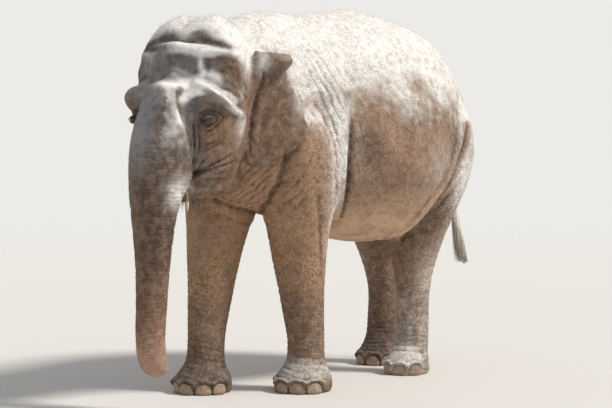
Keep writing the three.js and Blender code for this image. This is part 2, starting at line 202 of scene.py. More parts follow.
def averaged(values, links, times=1, share=1.0):
    """Values drawn towards the mean of their neighbours, a number of times."""
    others, starts, lengths = links
    flat = values.reshape(len(values), -1)
    for _ in range(times):
        flat = flat + (np.add.reduceat(flat[others], starts, axis=0) / lengths[:, None] - flat) * share
    return flat.reshape(values.shape)


solid_tree, face_part = tree_of(SKINNED)


def parts_of(points):
    """The solid nearest to each point, and the vector to the nearest place on it."""
    names, reach = [], np.empty_like(points)
    for i, point in enumerate(points.tolist()):
        place, _, face, _ = solid_tree.find_nearest(point)
        names.append(face_part[face])
        reach[i] = place
    return np.array(names), reach - points


def mask_of(names, starts, links, times=8):
    """A soft mask of the points that lie on the solids whose names start so."""
    inside = {name: float(name.startswith(starts)) for name in SKINNED}
    return averaged(np.array([inside[n] for n in names]), links, times)


print("faces to lie on", len(face_part))

# %% [markdown]
# ## From facets to flesh
# The solids are faceted. Drawing each point towards its neighbours many times melts the facets, far
# more on the broad torso than on a thin trunk or ear. Smoothing also shrinks, so afterwards each point
# moves back out by the mean distance to the solids around it, and the measured size is kept.

# %% Smooth each part by its own breadth
SMOOTHING = {"torso": 0.9, "neck": 0.8, "upper": 0.6, "lower": 0.3, "foot": 0.16, "head": 0.22}
SMOOTHING |= {"eye": 0.22, "jaw": 0.3, "trunk": 0.2, "ear": 0.07, "tail": 0.03}
ROUNDS = int(110 * (8 * MM / VOXEL) ** 2)
MOST_SHORTFALL = 20 * MM
links = links_of(skin_mesh)
points = points_of(skin_mesh)
names, _ = parts_of(points)
share = np.array([SMOOTHING[n.split("_")[0]] for n in names])
share = averaged(share, links, 12)[:, None]
points = averaged(points, links, ROUNDS, share)
put_points(skin_mesh, points)
normals = normals_of(skin_mesh)
_, reach = parts_of(points)
shortfall = (reach * normals).sum(1)
shortfall = averaged(np.clip(shortfall, -MOST_SHORTFALL, MOST_SHORTFALL)[:, None], links, ROUNDS, share)
points += normals * shortfall
put_points(skin_mesh, points)
print("mean shortfall made good, mm", round(float(shortfall.mean()) / MM, 2))

# %% [markdown]
# ## More points where there is more to carve
# Eyelids need points every couple of millimetres, while the flank does with a coarse net. Faces near
# the eyes, mouth, trunk and feet are cut in four before the sculpting starts.

# %% Cut the faces finer round the eyes, mouth, trunk and feet
EYES = {"left": middle("eye_left"), "right": middle("eye_right")}


def finer(mesh, near):
    """Cuts in four each face whose points all pass the test."""
    chosen = near(points_of(mesh))
    work = bmesh.new()
    work.from_mesh(mesh)
    work.verts.ensure_lookup_table()
    faces = [f for f in work.faces if all(chosen[v.index] for v in f.verts)]
    edges = list({e for f in faces for e in f.edges})
    bmesh.ops.subdivide_edges(work, edges=edges, cuts=1, use_grid_fill=True, smooth=0)
    work.to_mesh(mesh)
    work.free()


def near_detail(points):
    """Which points are on the trunk, the face or the feet."""
    aside, back, up = in_head(points).T
    trunk = (back < -330) & (up < 120)
    face = (back < -130) & (np.abs(up + 60) < 330) & (np.abs(aside) < 400)
    low_feet = points[:, 2] < 260 * MM
    return trunk | face | low_feet


def near_eyes(radius):
    """A test for points within a radius, in millimetres, of either eye."""
    def test(points):
        away = [np.linalg.norm(points - eye, axis=1) for eye in EYES.values()]
        return np.min(away, axis=0) < radius * MM

    return test


for near in (near_detail, near_eyes(95), near_eyes(48)):
    finer(skin_mesh, near)
points = points_of(skin_mesh)
links = links_of(skin_mesh)
names, _ = parts_of(points)
normals = averaged(normals_of(skin_mesh), links, 2)
normals /= np.linalg.norm(normals, axis=1)[:, None]
print("points to sculpt", len(points))

# %% [markdown]
# ## Tools for carving
# Four strokes do nearly all of the sculpting, as fingers and a loop tool would in clay: a swelling
# raises or sinks a soft mound, a ridge does so along a curve, a fold presses a groove with rounded lips,
# and creases repeat a groove over and over. Each adds to one list of heights along the normals.

# %% Swellings, ridges, folds and creases
def twin(places):
    """Both sides folded on to the left one, so that one stroke carves a pair."""
    return np.column_stack([np.abs(places[:, 0]), places[:, 1:]])


q, body = in_head(points), points / MM  # in the head's axes and in the body's, in millimetres
(hx, hy, hz), (bx, by, bz) = q.T, body.T
head_twin, body_twin = twin(q), twin(body)
height = np.zeros(len(points))  # millimetres along the normal


def ease(low, high, value):
    """From 0 at the first bound to 1 at the second, starting and ending gently."""
    t = np.clip((value - low) / (high - low), 0, 1)
    return t * t * (3 - 2 * t)


def mound(places, at, reach):
    """One at the middle of a soft mound, falling to nothing over its reach."""
    away = (places - np.array(at)) / np.array(reach)
    return np.exp(-(away**2).sum(1))


def curve_through(stops, steps=10):
    """A smooth run of points through a few stops."""
    stops = np.array(stops, float)
    ends = np.vstack([2 * stops[0] - stops[1], stops, 2 * stops[-1] - stops[-2]])
    run = []
    for a, b, c, d in zip(ends, ends[1:], ends[2:], ends[3:]):
        for t in np.linspace(0, 1, steps, endpoint=False):
            run.append(0.5 * (2 * b + (c - a) * t + (2 * a - 5 * b + 4 * c - d) * t**2
                              + (3 * b - a - 3 * c + d) * t**3))
    return np.array(run + [stops[-1]])


def beside(places, stops, limit):
    """For the points near a curve: which they are, how far off it, and how far along it, 0 to 1."""
    run = curve_through(stops)
    low, high = run.min(0) - limit, run.max(0) + limit
    near = np.flatnonzero(((places > low) & (places < high)).all(1))
    best = np.full(len(near), 1e9)
    along = np.zeros(len(near))
    spot = places[near]
    for i, (a, b) in enumerate(zip(run, run[1:])):
        ray = b - a
        t = np.clip(((spot - a) @ ray) / (ray @ ray), 0, 1)
        away = np.linalg.norm(spot - a - t[:, None] * ray, axis=1)
        closer = away < best
        best[closer] = away[closer]
        along[closer] = (i + t[closer]) / (len(run) - 1)
    return near, best, along


def swell(places, at, reach, tall):
    """Raises a soft mound; a negative height sinks a hollow."""
    height[:] += tall * mound(places, at, reach)


def ridge(places, stops, width, tall):
    """Raises a rounded ridge along a curve; a negative height sinks a hollow."""
    near, away, along = beside(places, stops, 3 * width)
    height[near] += tall * np.exp(-((away / width) ** 2)) * np.sin(np.pi * np.clip(along, 0.04, 0.96)) ** 0.5


def fold(places, stops, width, deep, lip=0.35):
    """Presses a narrow groove along a curve, with the hide bulging on both sides of it."""
    near, away, along = beside(places, stops, 5 * width)
    fade = np.sin(np.pi * np.clip(along, 0.03, 0.97)) ** 0.6
    groove = -np.exp(-((away / width) ** 2)) + lip * np.exp(-(((away - 2.2 * width) / (1.4 * width)) ** 2))
    height[near] += deep * groove * fade


def rippled(phase, sharp=2.0):
    """Rounded ridges with narrow valleys at whole numbers: 0 on the ridge, -1 in the valley."""
    return -((1 - np.abs(np.sin(np.pi * phase))) ** sharp)


def drift(places, size, seed=0.0):
    """Soft noise, about -1 to 1, whose lumps are of one size."""
    spots = places / size + seed
    return np.array([noise.noise(p) for p in spots.tolist()])


masks = {k: mask_of(names, k, links) for k in ("trunk", "ear", "tail", "foot", "lower_leg", "upper_leg")}
masks["torso"] = mask_of(names, ("torso", "neck"), links, 12)
masks["head"] = mask_of(names, ("head", "eye", "jaw"), links, 8)
print({k: int((m > 0.5).sum()) for k, m in masks.items()})

# %% [markdown]
# ## The skull under the hide
# An Asian elephant's head is a row of landmarks: twin domes with a groove between, a hollow under
# each, the shelf and dish of the forehead, a sunk temple behind its sharp corner, and the brow that
# sweeps from the trunk's root over the eye to the arch of the cheek.

# %% Domes, temples, brow and the trunk's root
swell(head_twin, (125, -190, 515), (95, 80, 48), 13)  # domes
before = height.copy()
UNDER_DOME = [(0, -284, 430), (100, -272, 438), (180, -262, 424), (270, -226, 400)]
ridge(head_twin, UNDER_DOME, 34, -30)
SHELF_RIM = [(80, -328, 376), (170, -312, 356), (232, -276, 364), (285, -222, 366), (312, -140, 340)]
ridge(head_twin, SHELF_RIM, 20, 17)
swell(head_twin, (252, -270, 272), (66, 60, 62), -17)  # temple
swell(head_twin, (318, -180, 240), (60, 90, 90), -14)
ridge(head_twin, [(190, -304, 326), (194, -308, 280), (214, -326, 236)], 22, -9)
ridge(head_twin, [(190, -298, 326), (240, -264, 330), (300, -190, 320)], 17, -12)
right_side = 0.25 + 0.75 * ease(-60, 20, hx)  # the right side is fuller, so its hollows are shallow
height = before + (height - before) * right_side
ridge(head_twin, [(152, -322, 350), (158, -328, 300), (182, -350, 222)], 20, 8)  # corner of the forehead
swell(q, (-200, -290, 388), (110, 70, 22), -15)  # under the right dome
swell(head_twin, (0, -334, 394), (66, 50, 30), 34)  # bump in the middle of the shelf
swell(head_twin, (0, -400, 254), (140, 100, 48), -40)  # dish above the trunk's root
swell(q, (24, -480, 172), (50, 60, 26), 30)  # nasal bump
swell(head_twin, (114, -464, 150), (40, 60, 34), -17)
ridge(head_twin, [(150, -366, 208), (134, -420, 176), (116, -470, 140)], 15, 9)
BROW = [(150, -374, 206), (214, -378, 180), (262, -372, 152), (304, -342, 108), (334, -262, 54),
        (330, -180, 28), (316, -110, -20)]
swell(head_twin, (300, -330, 196), (54, 70, 38), -24)  # the temple reaches down to the brow's crest
ridge(head_twin, BROW, 20, 22)
swell(q, (-262, -250, 258), (60, 90, 56), 24)  # the right temple is fuller
swell(q, (-346, -260, 130), (50, 90, 60), -34)  # and the end of the right brow lower
swell(head_twin, (236, -392, 66), (70, 50, 34), -24)  # shade under the brow
swell(head_twin, (240, -380, -12), (74, 80, 62), 9)  # the eye's own mound
BESIDE_TRUNK = [(118, -440, 200), (128, -466, 140), (136, -472, 60), (144, -466, -20), (150, -448, -120)]
ridge(head_twin, BESIDE_TRUNK, 28, -30)
bridge = ease(112, 76, head_twin[:, 0]) * ease(208, 150, hz) * ease(-60, 110, hz)
height += 15 * bridge * ease(-380, -430, hy)
# two folds ahead of the eye
fold(head_twin, [(172, -412, 20), (162, -407, -50), (160, -390, -150), (140, -378, -225)], 6, 9)
fold(head_twin, [(196, -398, -20), (188, -392, -80), (180, -380, -150), (152, -372, -215)], 6, 8)
print("head carved to", round(height.min(), 1), round(height.max(), 1), "mm")

# %% [markdown]
# ## Mouth, cheek and chin
# The cleft of the mouth runs back under the trunk's root into a nest of wrinkles. The upper lip flares
# over the tush like a sleeve, and the cheek ends in a soft rear edge beside the ear.

# %% Mouth, lip sleeves and cheek
fold(head_twin, [(112, -392, -322), (140, -356, -294), (176, -322, -280), (214, -284, -268)], 14, 34)
for stops, wide, deep in [  # five fan out from its corner, three lie higher on the cheek
    ([(142, -354, -282), (166, -346, -244), (196, -334, -206), (232, -308, -172)], 8, 15),
    ([(160, -346, -284), (206, -318, -256), (250, -262, -222), (292, -196, -190)], 8, 12),
    ([(170, -330, -272), (228, -276, -256), (262, -208, -246), (276, -140, -226)], 7, 9),
    ([(170, -318, -296), (214, -262, -294), (244, -190, -290)], 7, 8),
    ([(160, -330, -318), (206, -258, -332), (230, -180, -322)], 7, 7),
    ([(196, -366, -150), (236, -340, -128), (274, -296, -92)], 6, 5),
    ([(200, -362, -176), (246, -330, -150), (286, -276, -112)], 6, 5),
    ([(186, -378, -120), (222, -358, -98), (256, -326, -70)], 6, 4),
]:
    fold(head_twin, stops, wide, deep)
ridge(head_twin, [(120, -400, -318), (170, -340, -312), (214, -262, -300)], 18, 9)  # lower lip
fold(head_twin, [(292, 0, -110), (285, 2, -190), (262, -4, -262), (232, -18, -330)], 10, 14)
ridge(head_twin, [(282, -30, -90), (276, -30, -190), (252, -36, -270)], 20, 8)  # rear edge of the cheek
ridge(head_twin, [(150, -424, -190), (160, -428, -290), (152, -438, -390)], 28, 13)  # sleeve of the lip
fold(head_twin, [(172, -372, -350), (120, -385, -412), (60, -400, -430)], 9, 8)  # chin
print("head and mouth carved to", round(height.min(), 1), round(height.max(), 1), "mm")

# %% [markdown]
# ## Trunk
# The trunk bends all day, so its hide lies in rings, one about every 22 mm, that wander and merge.
# They are deepest below the mouth and fade to fine lines over the nose. The tip is smooth and blunt.

# %% Rings of the trunk
RING, SLOW_RING = 22, 118  # mm from one groove to the next, and from one broad swelling to the next
curl = ease(-1120, -1330, hz)
along_trunk = -hz + 1.15 * (hy + 590) * curl
wander = drift(q, 95, 3.1)
ring_phase = along_trunk / RING + 0.45 * wander + 0.25 * drift(q, 40, 8.7)
ring_depth = 1.1 + 2.5 * ease(120, -500, hz)
ring_depth *= 1 - 0.65 * ease(-1180, -1290, hz)
ring_depth *= 0.75 + 0.5 * drift(q, 160, 5.5)
on_trunk = masks["trunk"] * ease(190, 60, hz)
height += rippled(ring_phase, 1.6) * ring_depth * on_trunk
slow_phase = along_trunk / SLOW_RING + 0.5 * drift(q, 170, 1.7)
height += 2.6 * rippled(slow_phase, 3) * on_trunk * ease(-150, -500, hz) * ease(-1250, -1100, hz)
for out in (1, -1):  # the nostrils
    near, away, _ = beside(q, [(out * 30, -478, -1338), (out * 32, -470, -1340)], 30)
    height[near] -= 26 * np.exp(-((away / 15) ** 2))
print("rings on", int((on_trunk > 0.5).sum()), "points")

# %% [markdown]
# ## Creases where limbs leave the body
# Hide hangs in a deep fold behind the shoulder and ahead of the thigh. The fold lies wherever the limb
# and the trunk of the body meet, so it is found from the solids: points close to both are pressed in.

# %% Armpit and flank folds
def distance_to(starts, spots, limit):
    """How far each place is from the solids whose names start so, up to a limit, in metres."""
    tree, _ = tree_of([name for name in FLESH if name.startswith(starts)])
    found = (tree.find_nearest(p, limit)[3] for p in spots.tolist())
    return np.array([limit if d is None else d for d in found])


def meeting(first, second, limit=120 * MM):
    """How far each point is from lying on both parts at once, in millimetres."""
    away = distance_to(first, points, limit)
    close = away < limit
    other = np.full(len(points), limit)
    other[close] = distance_to(second, points[close], limit)
    return np.maximum(away, other) / MM


def leg_middle(leg, z):
    """Where the middle line of a leg lies at a height, in millimetres, from the boxes of its lengths."""
    nodes = [f"{part}_{leg}" for part in ("foot", "lower_leg", "upper_leg")]
    heights, xs, ys = zip(*sorted(tuple(middle(n)[[2, 0, 1]] / MM) for n in nodes))
    return np.interp(z, heights, xs), np.interp(z, heights, ys)


def beside_leg(leg, stops, out=1):
    """A line past a leg: each stop is out from the leg's middle line, back from it, and a height."""
    line = []
    for out_by, back_by, z in stops:
        x, y = leg_middle(leg, z)
        line.append((x + out * out_by, y + back_by, z))
    return line


# the fold behind the shoulder, down to the armpit, and the one that runs from the loin to the stifle
ARM_EDGE = beside_leg("front_left", [(230, 190, 1580), (230, 180, 1460), (225, 180, 1350), (200, 200, 1230),
                                     (150, 240, 1110), (60, 300, 1000)])
FLANK_FOLD = beside_leg("hind_left", [(215, 80, 1550), (230, 0, 1400), (230, -130, 1220), (215, -260, 1070),
                                      (120, -260, 960), (0, -230, 840)])
leg_seam = meeting("upper_leg", ("torso", "neck"))
own_fold = np.zeros(len(points))  # where one of these two folds takes the seam's place
for line in (ARM_EDGE, FLANK_FOLD):
    near, away, _ = beside(body_twin, line, 190)
    own_fold[near] = np.maximum(own_fold[near], ease(180, 90, away))
fore = by < 150
low_seam = ease(1620, 1350, bz) * (1 - own_fold)
height -= 15 * np.exp(-((leg_seam / 13) ** 2)) * low_seam
height += np.where(fore, 10, 8) * np.exp(-(((leg_seam - 42) / 26) ** 2)) * low_seam
height -= 9 * np.exp(-((leg_seam / 42) ** 2)) * low_seam
behind = np.where(fore, ease(-200, -120, by), ease(960, 860, by))
height -= 17 * np.exp(-((leg_seam / 20) ** 2)) * behind * ease(1560, 1400, bz) * (1 - own_fold)

# between the front of the upper arm and the triceps: out from the middle line, back from it, height
TRICEPS_GROOVE = [(197, -80, 1240), (175, -38, 1095), (143, 8, 950), (125, 34, 770), (120, 40, 595)]
for side, out in (("left", 1), ("right", -1)):
    for shift, deep in ((0, 9), (52, 5)):
        line = beside_leg("front_" + side, TRICEPS_GROOVE, out)
        fold(body, [(x - out * 0.25 * shift, y + shift, z - 0.6 * shift) for x, y, z in line], 24, deep)
print("points where limbs meet the body", int((leg_seam < 40).sum()))

# %% [markdown]
# ## Loose hide on neck, shoulder and legs
# Where the body bends, hide hangs in long parallel folds: slanting down the neck to the chest, down
# the shoulder, and in level rings round knees and ankles. Long waves with narrow valleys, steered by a
# direction and bent by slow noise, give each its run.

# %% Folds of the neck, shoulder, flank and legs
bend = drift(body, 330, 4.4)
fine_bend = drift(body, 90, 6.1)
patchy = np.clip(0.5 + 0.9 * drift(body, 240, 9.3), 0, 1)
MIDRIFF = 300  # mm; all of the hind legs lies behind it


def waves(run, spacing, deep, where, wobble=0.9):
    """Presses long folds square to a direction in the body's own axes, this far apart in millimetres."""
    phase = body_twin @ (np.array(run, float) / np.linalg.norm(run)) / spacing
    height[:] += deep * rippled(phase + wobble * bend + 0.3 * fine_bend) * where


for line, deep, ahead, broad in ((ARM_EDGE, 26, 46, 36), (FLANK_FOLD, 46, 48, 34)):
    fold(body_twin, line, 16, deep, 0.0)
    ridge(body_twin, [(x, y - ahead, z) for x, y, z in line], broad, 22)  # the rounded edge before it

neck_side = ease(-300, -420, by) * ease(1760, 1560, bz) * ease(990, 1100, bz)
neck_side *= np.clip(masks["torso"] + 0.6 * masks["upper_leg"], 0, 1)
chest = masks["torso"] * ease(-380, -520, by) * ease(1330, 1180, bz)
blade = mound(body_twin, (460, -230, 1720), (200, 150, 330))
behind_arm = mound(body_twin, (500, -70, 1480), (200, 95, 300))
triceps = mound(body_twin, (440, -200, 1290), (130, 190, 260)) * masks["upper_leg"]
waves((0.05, 0.86, -0.5), 44, 9, neck_side * (0.5 + 0.5 * patchy), 0.6)
waves((0.2, 0.9, 0.0), 44, 6, chest, 0.6)
waves((0.1, 0.9, 0.42), 50, 13, blade * (0.45 + 0.55 * patchy))
waves((0, 1.0, 0.42), 44, 8, behind_arm * (0.5 + 0.5 * patchy), 0.8)
waves((0, 0.55, 0.85), 34, 5.5, triceps * (0.5 + 0.5 * patchy), 1.4)

thigh = mound(body_twin, (440, 930, 1080), (220, 170, 280)) * ease(600, 670, by)
groin = mound(body_twin, (200, 600, 900), (160, 260, 130))
rump = masks["torso"] * ease(600, 900, by) + masks["upper_leg"] * (by > MIDRIFF)
waves((0, -0.45, 0.9), 30, 8, thigh * (0.6 + 0.4 * patchy), 1.2)
waves((0.5, 0.4, -0.7), 46, 6, groin, 1.2)

legs = masks["foot"] + masks["lower_leg"]
limbs = np.clip(legs + masks["upper_leg"] * ease(1150, 800, bz), 0, 1)
knees = np.exp(-(((bz - 600) / 120) ** 2)) * (masks["lower_leg"] + masks["upper_leg"])
waves((0, 0.12, 1), 36, 4.0, legs * ease(460, 300, bz) * ease(95, 150, bz), 1.4)  # ankles
waves((0, 0.25, 1), 30, 4.4, limbs * patchy, 2.0)
waves((0, 0.2, 1), 44, 5, knees * patchy, 1.3)
waves((0, -0.3, 1), 36, 2.4, rump * patchy, 1.6)
print("body carved to", round(height.min(), 1), round(height.max(), 1), "mm")

# %% [markdown]
# ## The hide's own network
# All over, the hide is broken by cracks into small plates. The coarse ones, 35 to 60 mm across, are
# carved here, so that they also show on an unpainted cast. The finer ones are left to the material.

# %% Coarse plates of the hide
def plates(places, size, seed):
    """Distance from the nearest crack between cells of one size: 0 in the crack, up to 1 between."""
    spots = places / size + seed
    near = np.array([noise.voronoi(p, distance_metric="DISTANCE")[0][:2] for p in spots.tolist()])
    return np.clip((near[:, 1] - near[:, 0]) * 1.6, 0, 1)


crinkle = np.column_stack([drift(body, 120, seed) for seed in (1.3, 2.6, 3.9)]) * 22
flattened = np.where(legs > 0.5, 1.9, 1.25)  # plates are broader than tall, most of all on the legs
cell = plates((body + crinkle) * np.column_stack([np.ones((len(points), 2)), flattened]), 46, 7.7)
rough_hide = masks["torso"] + masks["upper_leg"] + 0.8 * masks["lower_leg"] + 0.6 * masks["foot"]
rough_hide += 0.35 * masks["head"] * ease(-380, -250, hy)
height -= 2.4 * (1 - cell) ** 2 * rough_hide * (0.4 + 0.6 * patchy)
height += 4 * drift(body, 210, 12.1) * masks["torso"]
print("plates carved, share of cracks", round(float((cell < 0.3).mean()), 2))

# %% [markdown]
# ## Feet and the beds of the nails
# An elephant walks on a cushion of fat. Each nail sits in a shallow bed with a padded rim of hide over
# it, and a dark cleft parts it from the next. The beds are pressed where the solids have the nails.

# %% Cushions and nail beds
NAILS = sorted(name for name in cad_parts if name.startswith("nail_"))
NAIL_MIDDLE = np.array([0, 0, 29 * MM])  # the height of a nail's middle above the floor


def nail_axes(name):
    """A nail's place on its foot: middle, the way along the foot's edge, and the way out."""
    foot = middle("foot_" + "_".join(name.split("_")[1:3]))
    spot = middle(name) * (1, 1, 0) + NAIL_MIDDLE
    out = (spot - foot) * (1, 1, 0)
    out /= np.linalg.norm(out)
    return spot, np.cross(UP, out), out


def nail_size(name):
    """Half the breadth and half the height of a nail, in millimetres."""
    return (46, 35) if "front" in name else (43, 35)


for name in NAILS:
    spot, aside, out = nail_axes(name)
    half_wide, half_tall = nail_size(name)
    near = np.flatnonzero(np.linalg.norm(points - spot, axis=1) < 120 * MM)
    away = (points[near] - spot) / MM
    a, b, c = away @ aside, away[:, 2], away @ out
    rim = ((np.abs(a) / half_wide) ** 2.4 + (np.abs(b) / half_tall) ** 2.4) ** (1 / 2.4) - 1
    rim *= 0.5 * (half_wide + half_tall)
    ahead = ease(-30, -5, c)
    bed = -7 * ease(3, -4, rim)
    groove = -9 * np.exp(-((rim / 6) ** 2)) * (1 - 0.4 * ease(0, 30, b))
    cushion = 11 * np.exp(-(((rim - 17) / 13) ** 2)) * (0.1 + 0.9 * ease(-8, 22, b))
    height[near] += (bed + groove + cushion) * ahead
print("nail beds", len(NAILS))

# %% [markdown]
# ## Ears
# An ear is a thin fan of gristle with veins branching over it. Its edge is slightly rolled, and shallow
# waves run all over it.

# %% Veins and waves of the ears
height += 1.6 * drift(body, 60, 15.2) * masks["ear"]
height += 7 * masks["tail"] * ease(1060, 860, bz)  # the tail ends blunt
EAR_ROOT = np.array((300, 0, 60))
for tip in [(300, 60, 290), (430, 210, 180), (480, 260, 40), (440, 240, -90), (360, 110, -170)]:
    ridge(head_twin, [EAR_ROOT, (EAR_ROOT + tip) / 2 + (8, 0, 10), tip], 7, 2.4)  # a vein
EAR_EDGE = [(368, 74, 290), (362, 58, 230), (350, 40, 160), (336, 20, 80), (326, 6, 0), (320, 0, -90),
            (308, 2, -210)]
CREVICE = [(356, 32, 290), (351, 22, 222), (331, 1, 156), (316, -14, 80), (305, -30, 0), (301, -36, -90),
           (298, -32, -200)]  # between the cheek and the ear
ridge(head_twin, EAR_EDGE, 14, 10)
fold(head_twin, CREVICE, 9, 14)
print("points on the ears", int((masks["ear"] > 0.5).sum()))

# %% [markdown]
# ## Working the heights in
# The heights become moves along the normals. How far a point lies under its surroundings is kept as a
# "cavity" value, which later paints shade into the grooves and keeps dust out of them.

# %% Move the points and keep the cavities
lift = averaged(height, links, 1, 0.5)
points = points + normals * (lift * MM)[:, None]
cavity = averaged(height, links, 24) - height
cavity = np.clip(averaged(cavity, links, 1) / 4, -1, 1)
put_points(skin_mesh, points)
print("cavity", cavity.min().round(2), cavity.max().round(2))

# %% [markdown]
# ## Eyelids
# The eye is small for such a head, under a heavy upper lid, and ringed by bags and folds. In axes of
# its own (forward, up and out from the eyeball) the hide is laid over the ball as lids, opened in an
# almond and pleated round it.

# %% Lids, almond and bags
BALL = 22  # radius of the eyeball, millimetres
LID = 3.2  # thickness of a lid at its edge
ALMOND = (27, 10.5, 9.5)  # half length, rise of the upper lid and fall of the lower
FORWARD_TILT = 0.22  # the front corner of the eye lies lower than the rear one


def eye_axes(side):
    """The ways forward, up and out at one eye, square to the hide over it."""
    near = np.linalg.norm(points - EYES[side], axis=1) < 60 * MM
    out = normals[near].mean(0)
    out /= np.linalg.norm(out)
    forward = -BACK - out * (-BACK @ out) - UP * FORWARD_TILT
    forward -= out * (forward @ out)
    forward /= np.linalg.norm(forward)
    rise = np.cross(forward, out)
    return forward, rise if rise[2] > 0 else -rise, out


EYE_AXES = {side: eye_axes(side) for side in EYES}
PLEATS = [  # round the eye: forward and up of the ball in millimetres, breadth, depth
    ([(40, 26), (24, 40), (-6, 46), (-38, 39), (-66, 21), (-84, -8)], 4.5, 9),
    ([(-84, -6), (-56, -37), (-32, -52), (0, -66), (28, -68)], 5.5, 9),
    ([(30, 12), (16, 22), (-6, 26), (-30, 22), (-48, 12)], 2.6, 5),
    ([(-25, 2), (-36, 8), (-48, 14)], 2.6, 5),
    ([(38, -22), (14, -32), (-6, -27), (-26, -12), (-44, -2)], 2.6, 5),
    ([(24, -42), (0, -42), (-22, -29), (-46, -18), (-68, -4)], 3.2, 5.5),
    ([(24, -6), (40, -12), (52, -30), (54, -56)], 4.0, 5),
    ([(28, 4), (44, 8), (56, 2)], 3.5, 3.5),
    ([(46, 30), (58, 4), (62, -36), (56, -70)], 4.5, 4),
]
socket, creased = np.zeros(len(points)), np.zeros(len(points))
for side, (forward, rise, out) in EYE_AXES.items():
    near = np.flatnonzero(np.linalg.norm(points - EYES[side], axis=1) < 130 * MM)
    away = (points[near] - EYES[side]) / MM
    a, b, c = away @ forward, away @ rise, away @ out
    front = ease(-60, -25, c)
    long, up_by, down_by = ALMOND
    bow = np.clip(1 - (a / long) ** 2, -1, 1)
    edge = np.maximum(b - up_by * bow, -down_by * bow - b)
    edge = np.where(np.abs(a) > long, np.maximum(edge, np.abs(a) - long), edge)
    radius = np.hypot(a / 1.2, b)
    over_ball = np.sqrt(np.clip((BALL + LID) ** 2 - radius**2, 30, None))
    blend = ease(15, 36, radius)
    lids = over_ball * (1 - blend) + c * blend
    lids += 1.6 * np.exp(-(((edge - 2.2) / 1.8) ** 2)) * (1 - blend)
    behind = np.sqrt(np.clip(BALL**2 - a**2 - b**2, 16, None)) - 4
    opened = ease(1.4, -1.0, edge)
    c_new = lids * (1 - opened) + behind * opened
    flat = np.column_stack([a, b, 0 * a]) + 1.2 * drift(away, 16, 2.2)[:, None]
    for stops, wide, deep in PLEATS:
        on, off, along = beside(flat, [(x, y, 0) for x, y in stops], 5 * wide)
        fade = np.sin(np.pi * np.clip(along, 0.04, 0.96)) ** 0.5
        pleat = np.exp(-((off / wide) ** 2)) * fade
        creased[near[on]] = np.maximum(creased[near[on]], pleat * min(deep / 5, 1.0))
        lip = np.exp(-(((off - 2.2 * wide) / (1.4 * wide)) ** 2)) * fade
        c_new[on] -= deep * (1.2 * pleat - 0.5 * lip)
    change = front * (c_new - c) * ease(125, 90, np.linalg.norm(away, axis=1))
    points[near] += out * (change * MM)[:, None]
    socket[near] = np.maximum(opened * front, 0.8 * np.exp(-((edge / 3) ** 2)) * (radius < 40))
    print(side, "eye: hide at", round(float(np.median(c[radius < 8])), 1), "mm from the ball's middle")

# %% [markdown]
# ## Flat soles
# The animal rests on flat pads. Whatever the strokes pushed below the floor comes back to it.

# %% Press the soles flat
sole = (points[:, 2] < 5 * MM) & (masks["foot"] > 0.4)
points[sole, 2] = 0
points[:, 2] = np.maximum(points[:, 2], 0)
put_points(skin_mesh, points)
print("points of the soles", int(sole.sum()))

# %% [markdown]
# ## Fewer triangles, kept where they matter
# Over a million triangles carried the carving. A decimate keeps fewer than 200,000 of them, spending
# them on curved places: lids, rings and folds stay sharp while the flank gets large faces.

# %% Decimate the skin and carry the masks over
MOST_TRIANGLES = 196000


def nearest_of(points, places):
    """For each place, the number of the point nearest to it."""
    tree = KDTree(len(points))
    for i, point in enumerate(points.tolist()):
        tree.insert(point, i)
    tree.balance()
    return np.array([tree.find(place)[1] for place in places.tolist()])


dense = thing("skin", skin_mesh)
dense.modifiers.new("triangles", "TRIANGULATE")
fewer = dense.modifiers.new("fewer", "DECIMATE")
fewer.ratio = MOST_TRIANGLES / (2.0 * len(skin_mesh.polygons))
skin_mesh = applied(dense)
skin_mesh.name = "skin"
skin = thing("skin", skin_mesh)
shaded_smooth(skin_mesh)
nearest = nearest_of(points, points_of(skin_mesh))
points, normals, links = points_of(skin_mesh), normals_of(skin_mesh), links_of(skin_mesh)
masks = {k: m[nearest] for k, m in masks.items()}
names, cavity, along_trunk = names[nearest], cavity[nearest], along_trunk[nearest]
socket = np.maximum(socket, creased)[nearest]
q, body = in_head(points), points / MM
(hx, hy, hz), (bx, by, bz) = q.T, body.T
head_twin, body_twin = twin(q), twin(body)
print("skin", len(skin_mesh.polygons), "triangles")

# %% [markdown]
# ## An unwrap of the skin's own shape
# The baked maps and the bristles need to know where on the hide they are. Every part is unrolled round
# its own middle line: body, trunk, tail and legs as tubes, the head as a globe, the ears as flat
# sheets. Each part has its own tile of the map.

# %% Unroll each part onto its tile
TILES = {  # left, bottom, right and top of each part's tile
    "body": (0.01, 0.01, 0.60, 0.39), "trunk": (0.62, 0.01, 0.80, 0.39), "tail": (0.82, 0.01, 0.85, 0.39),
    "head": (0.01, 0.41, 0.54, 0.71), "ear_left": (0.56, 0.41, 0.77, 0.71),
    "ear_right": (0.78, 0.41, 0.99, 0.71),
}
LEGS = [f"{pair}_{side}" for pair in ("front", "hind") for side in ("left", "right")]
for i, leg in enumerate(LEGS):
    TILES[leg] = (0.01 + 0.245 * i, 0.73, 0.235 + 0.245 * i, 0.99)
TORSO_FRONT, TORSO_REAR = (corner[1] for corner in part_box("torso"))
SPINE = 1.5  # height of the line that the body is unrolled round
SKULL_MIDDLE = (0, -150, 60)
EAR_LOW, EAR_TALL, EAR_BROAD = -290, 720, 400  # mm, from the ear's tip up and from its root outwards


def tile_of(name):
    """The tile of the map that a solid's part of the skin lies on."""
    first, *rest = name.split("_")
    if first in ("upper", "lower", "foot"):
        return "_".join(rest[-2:])
    return {"torso": "body", "neck": "body", "jaw": "head", "eye": "head", "ear": name}.get(first, first)


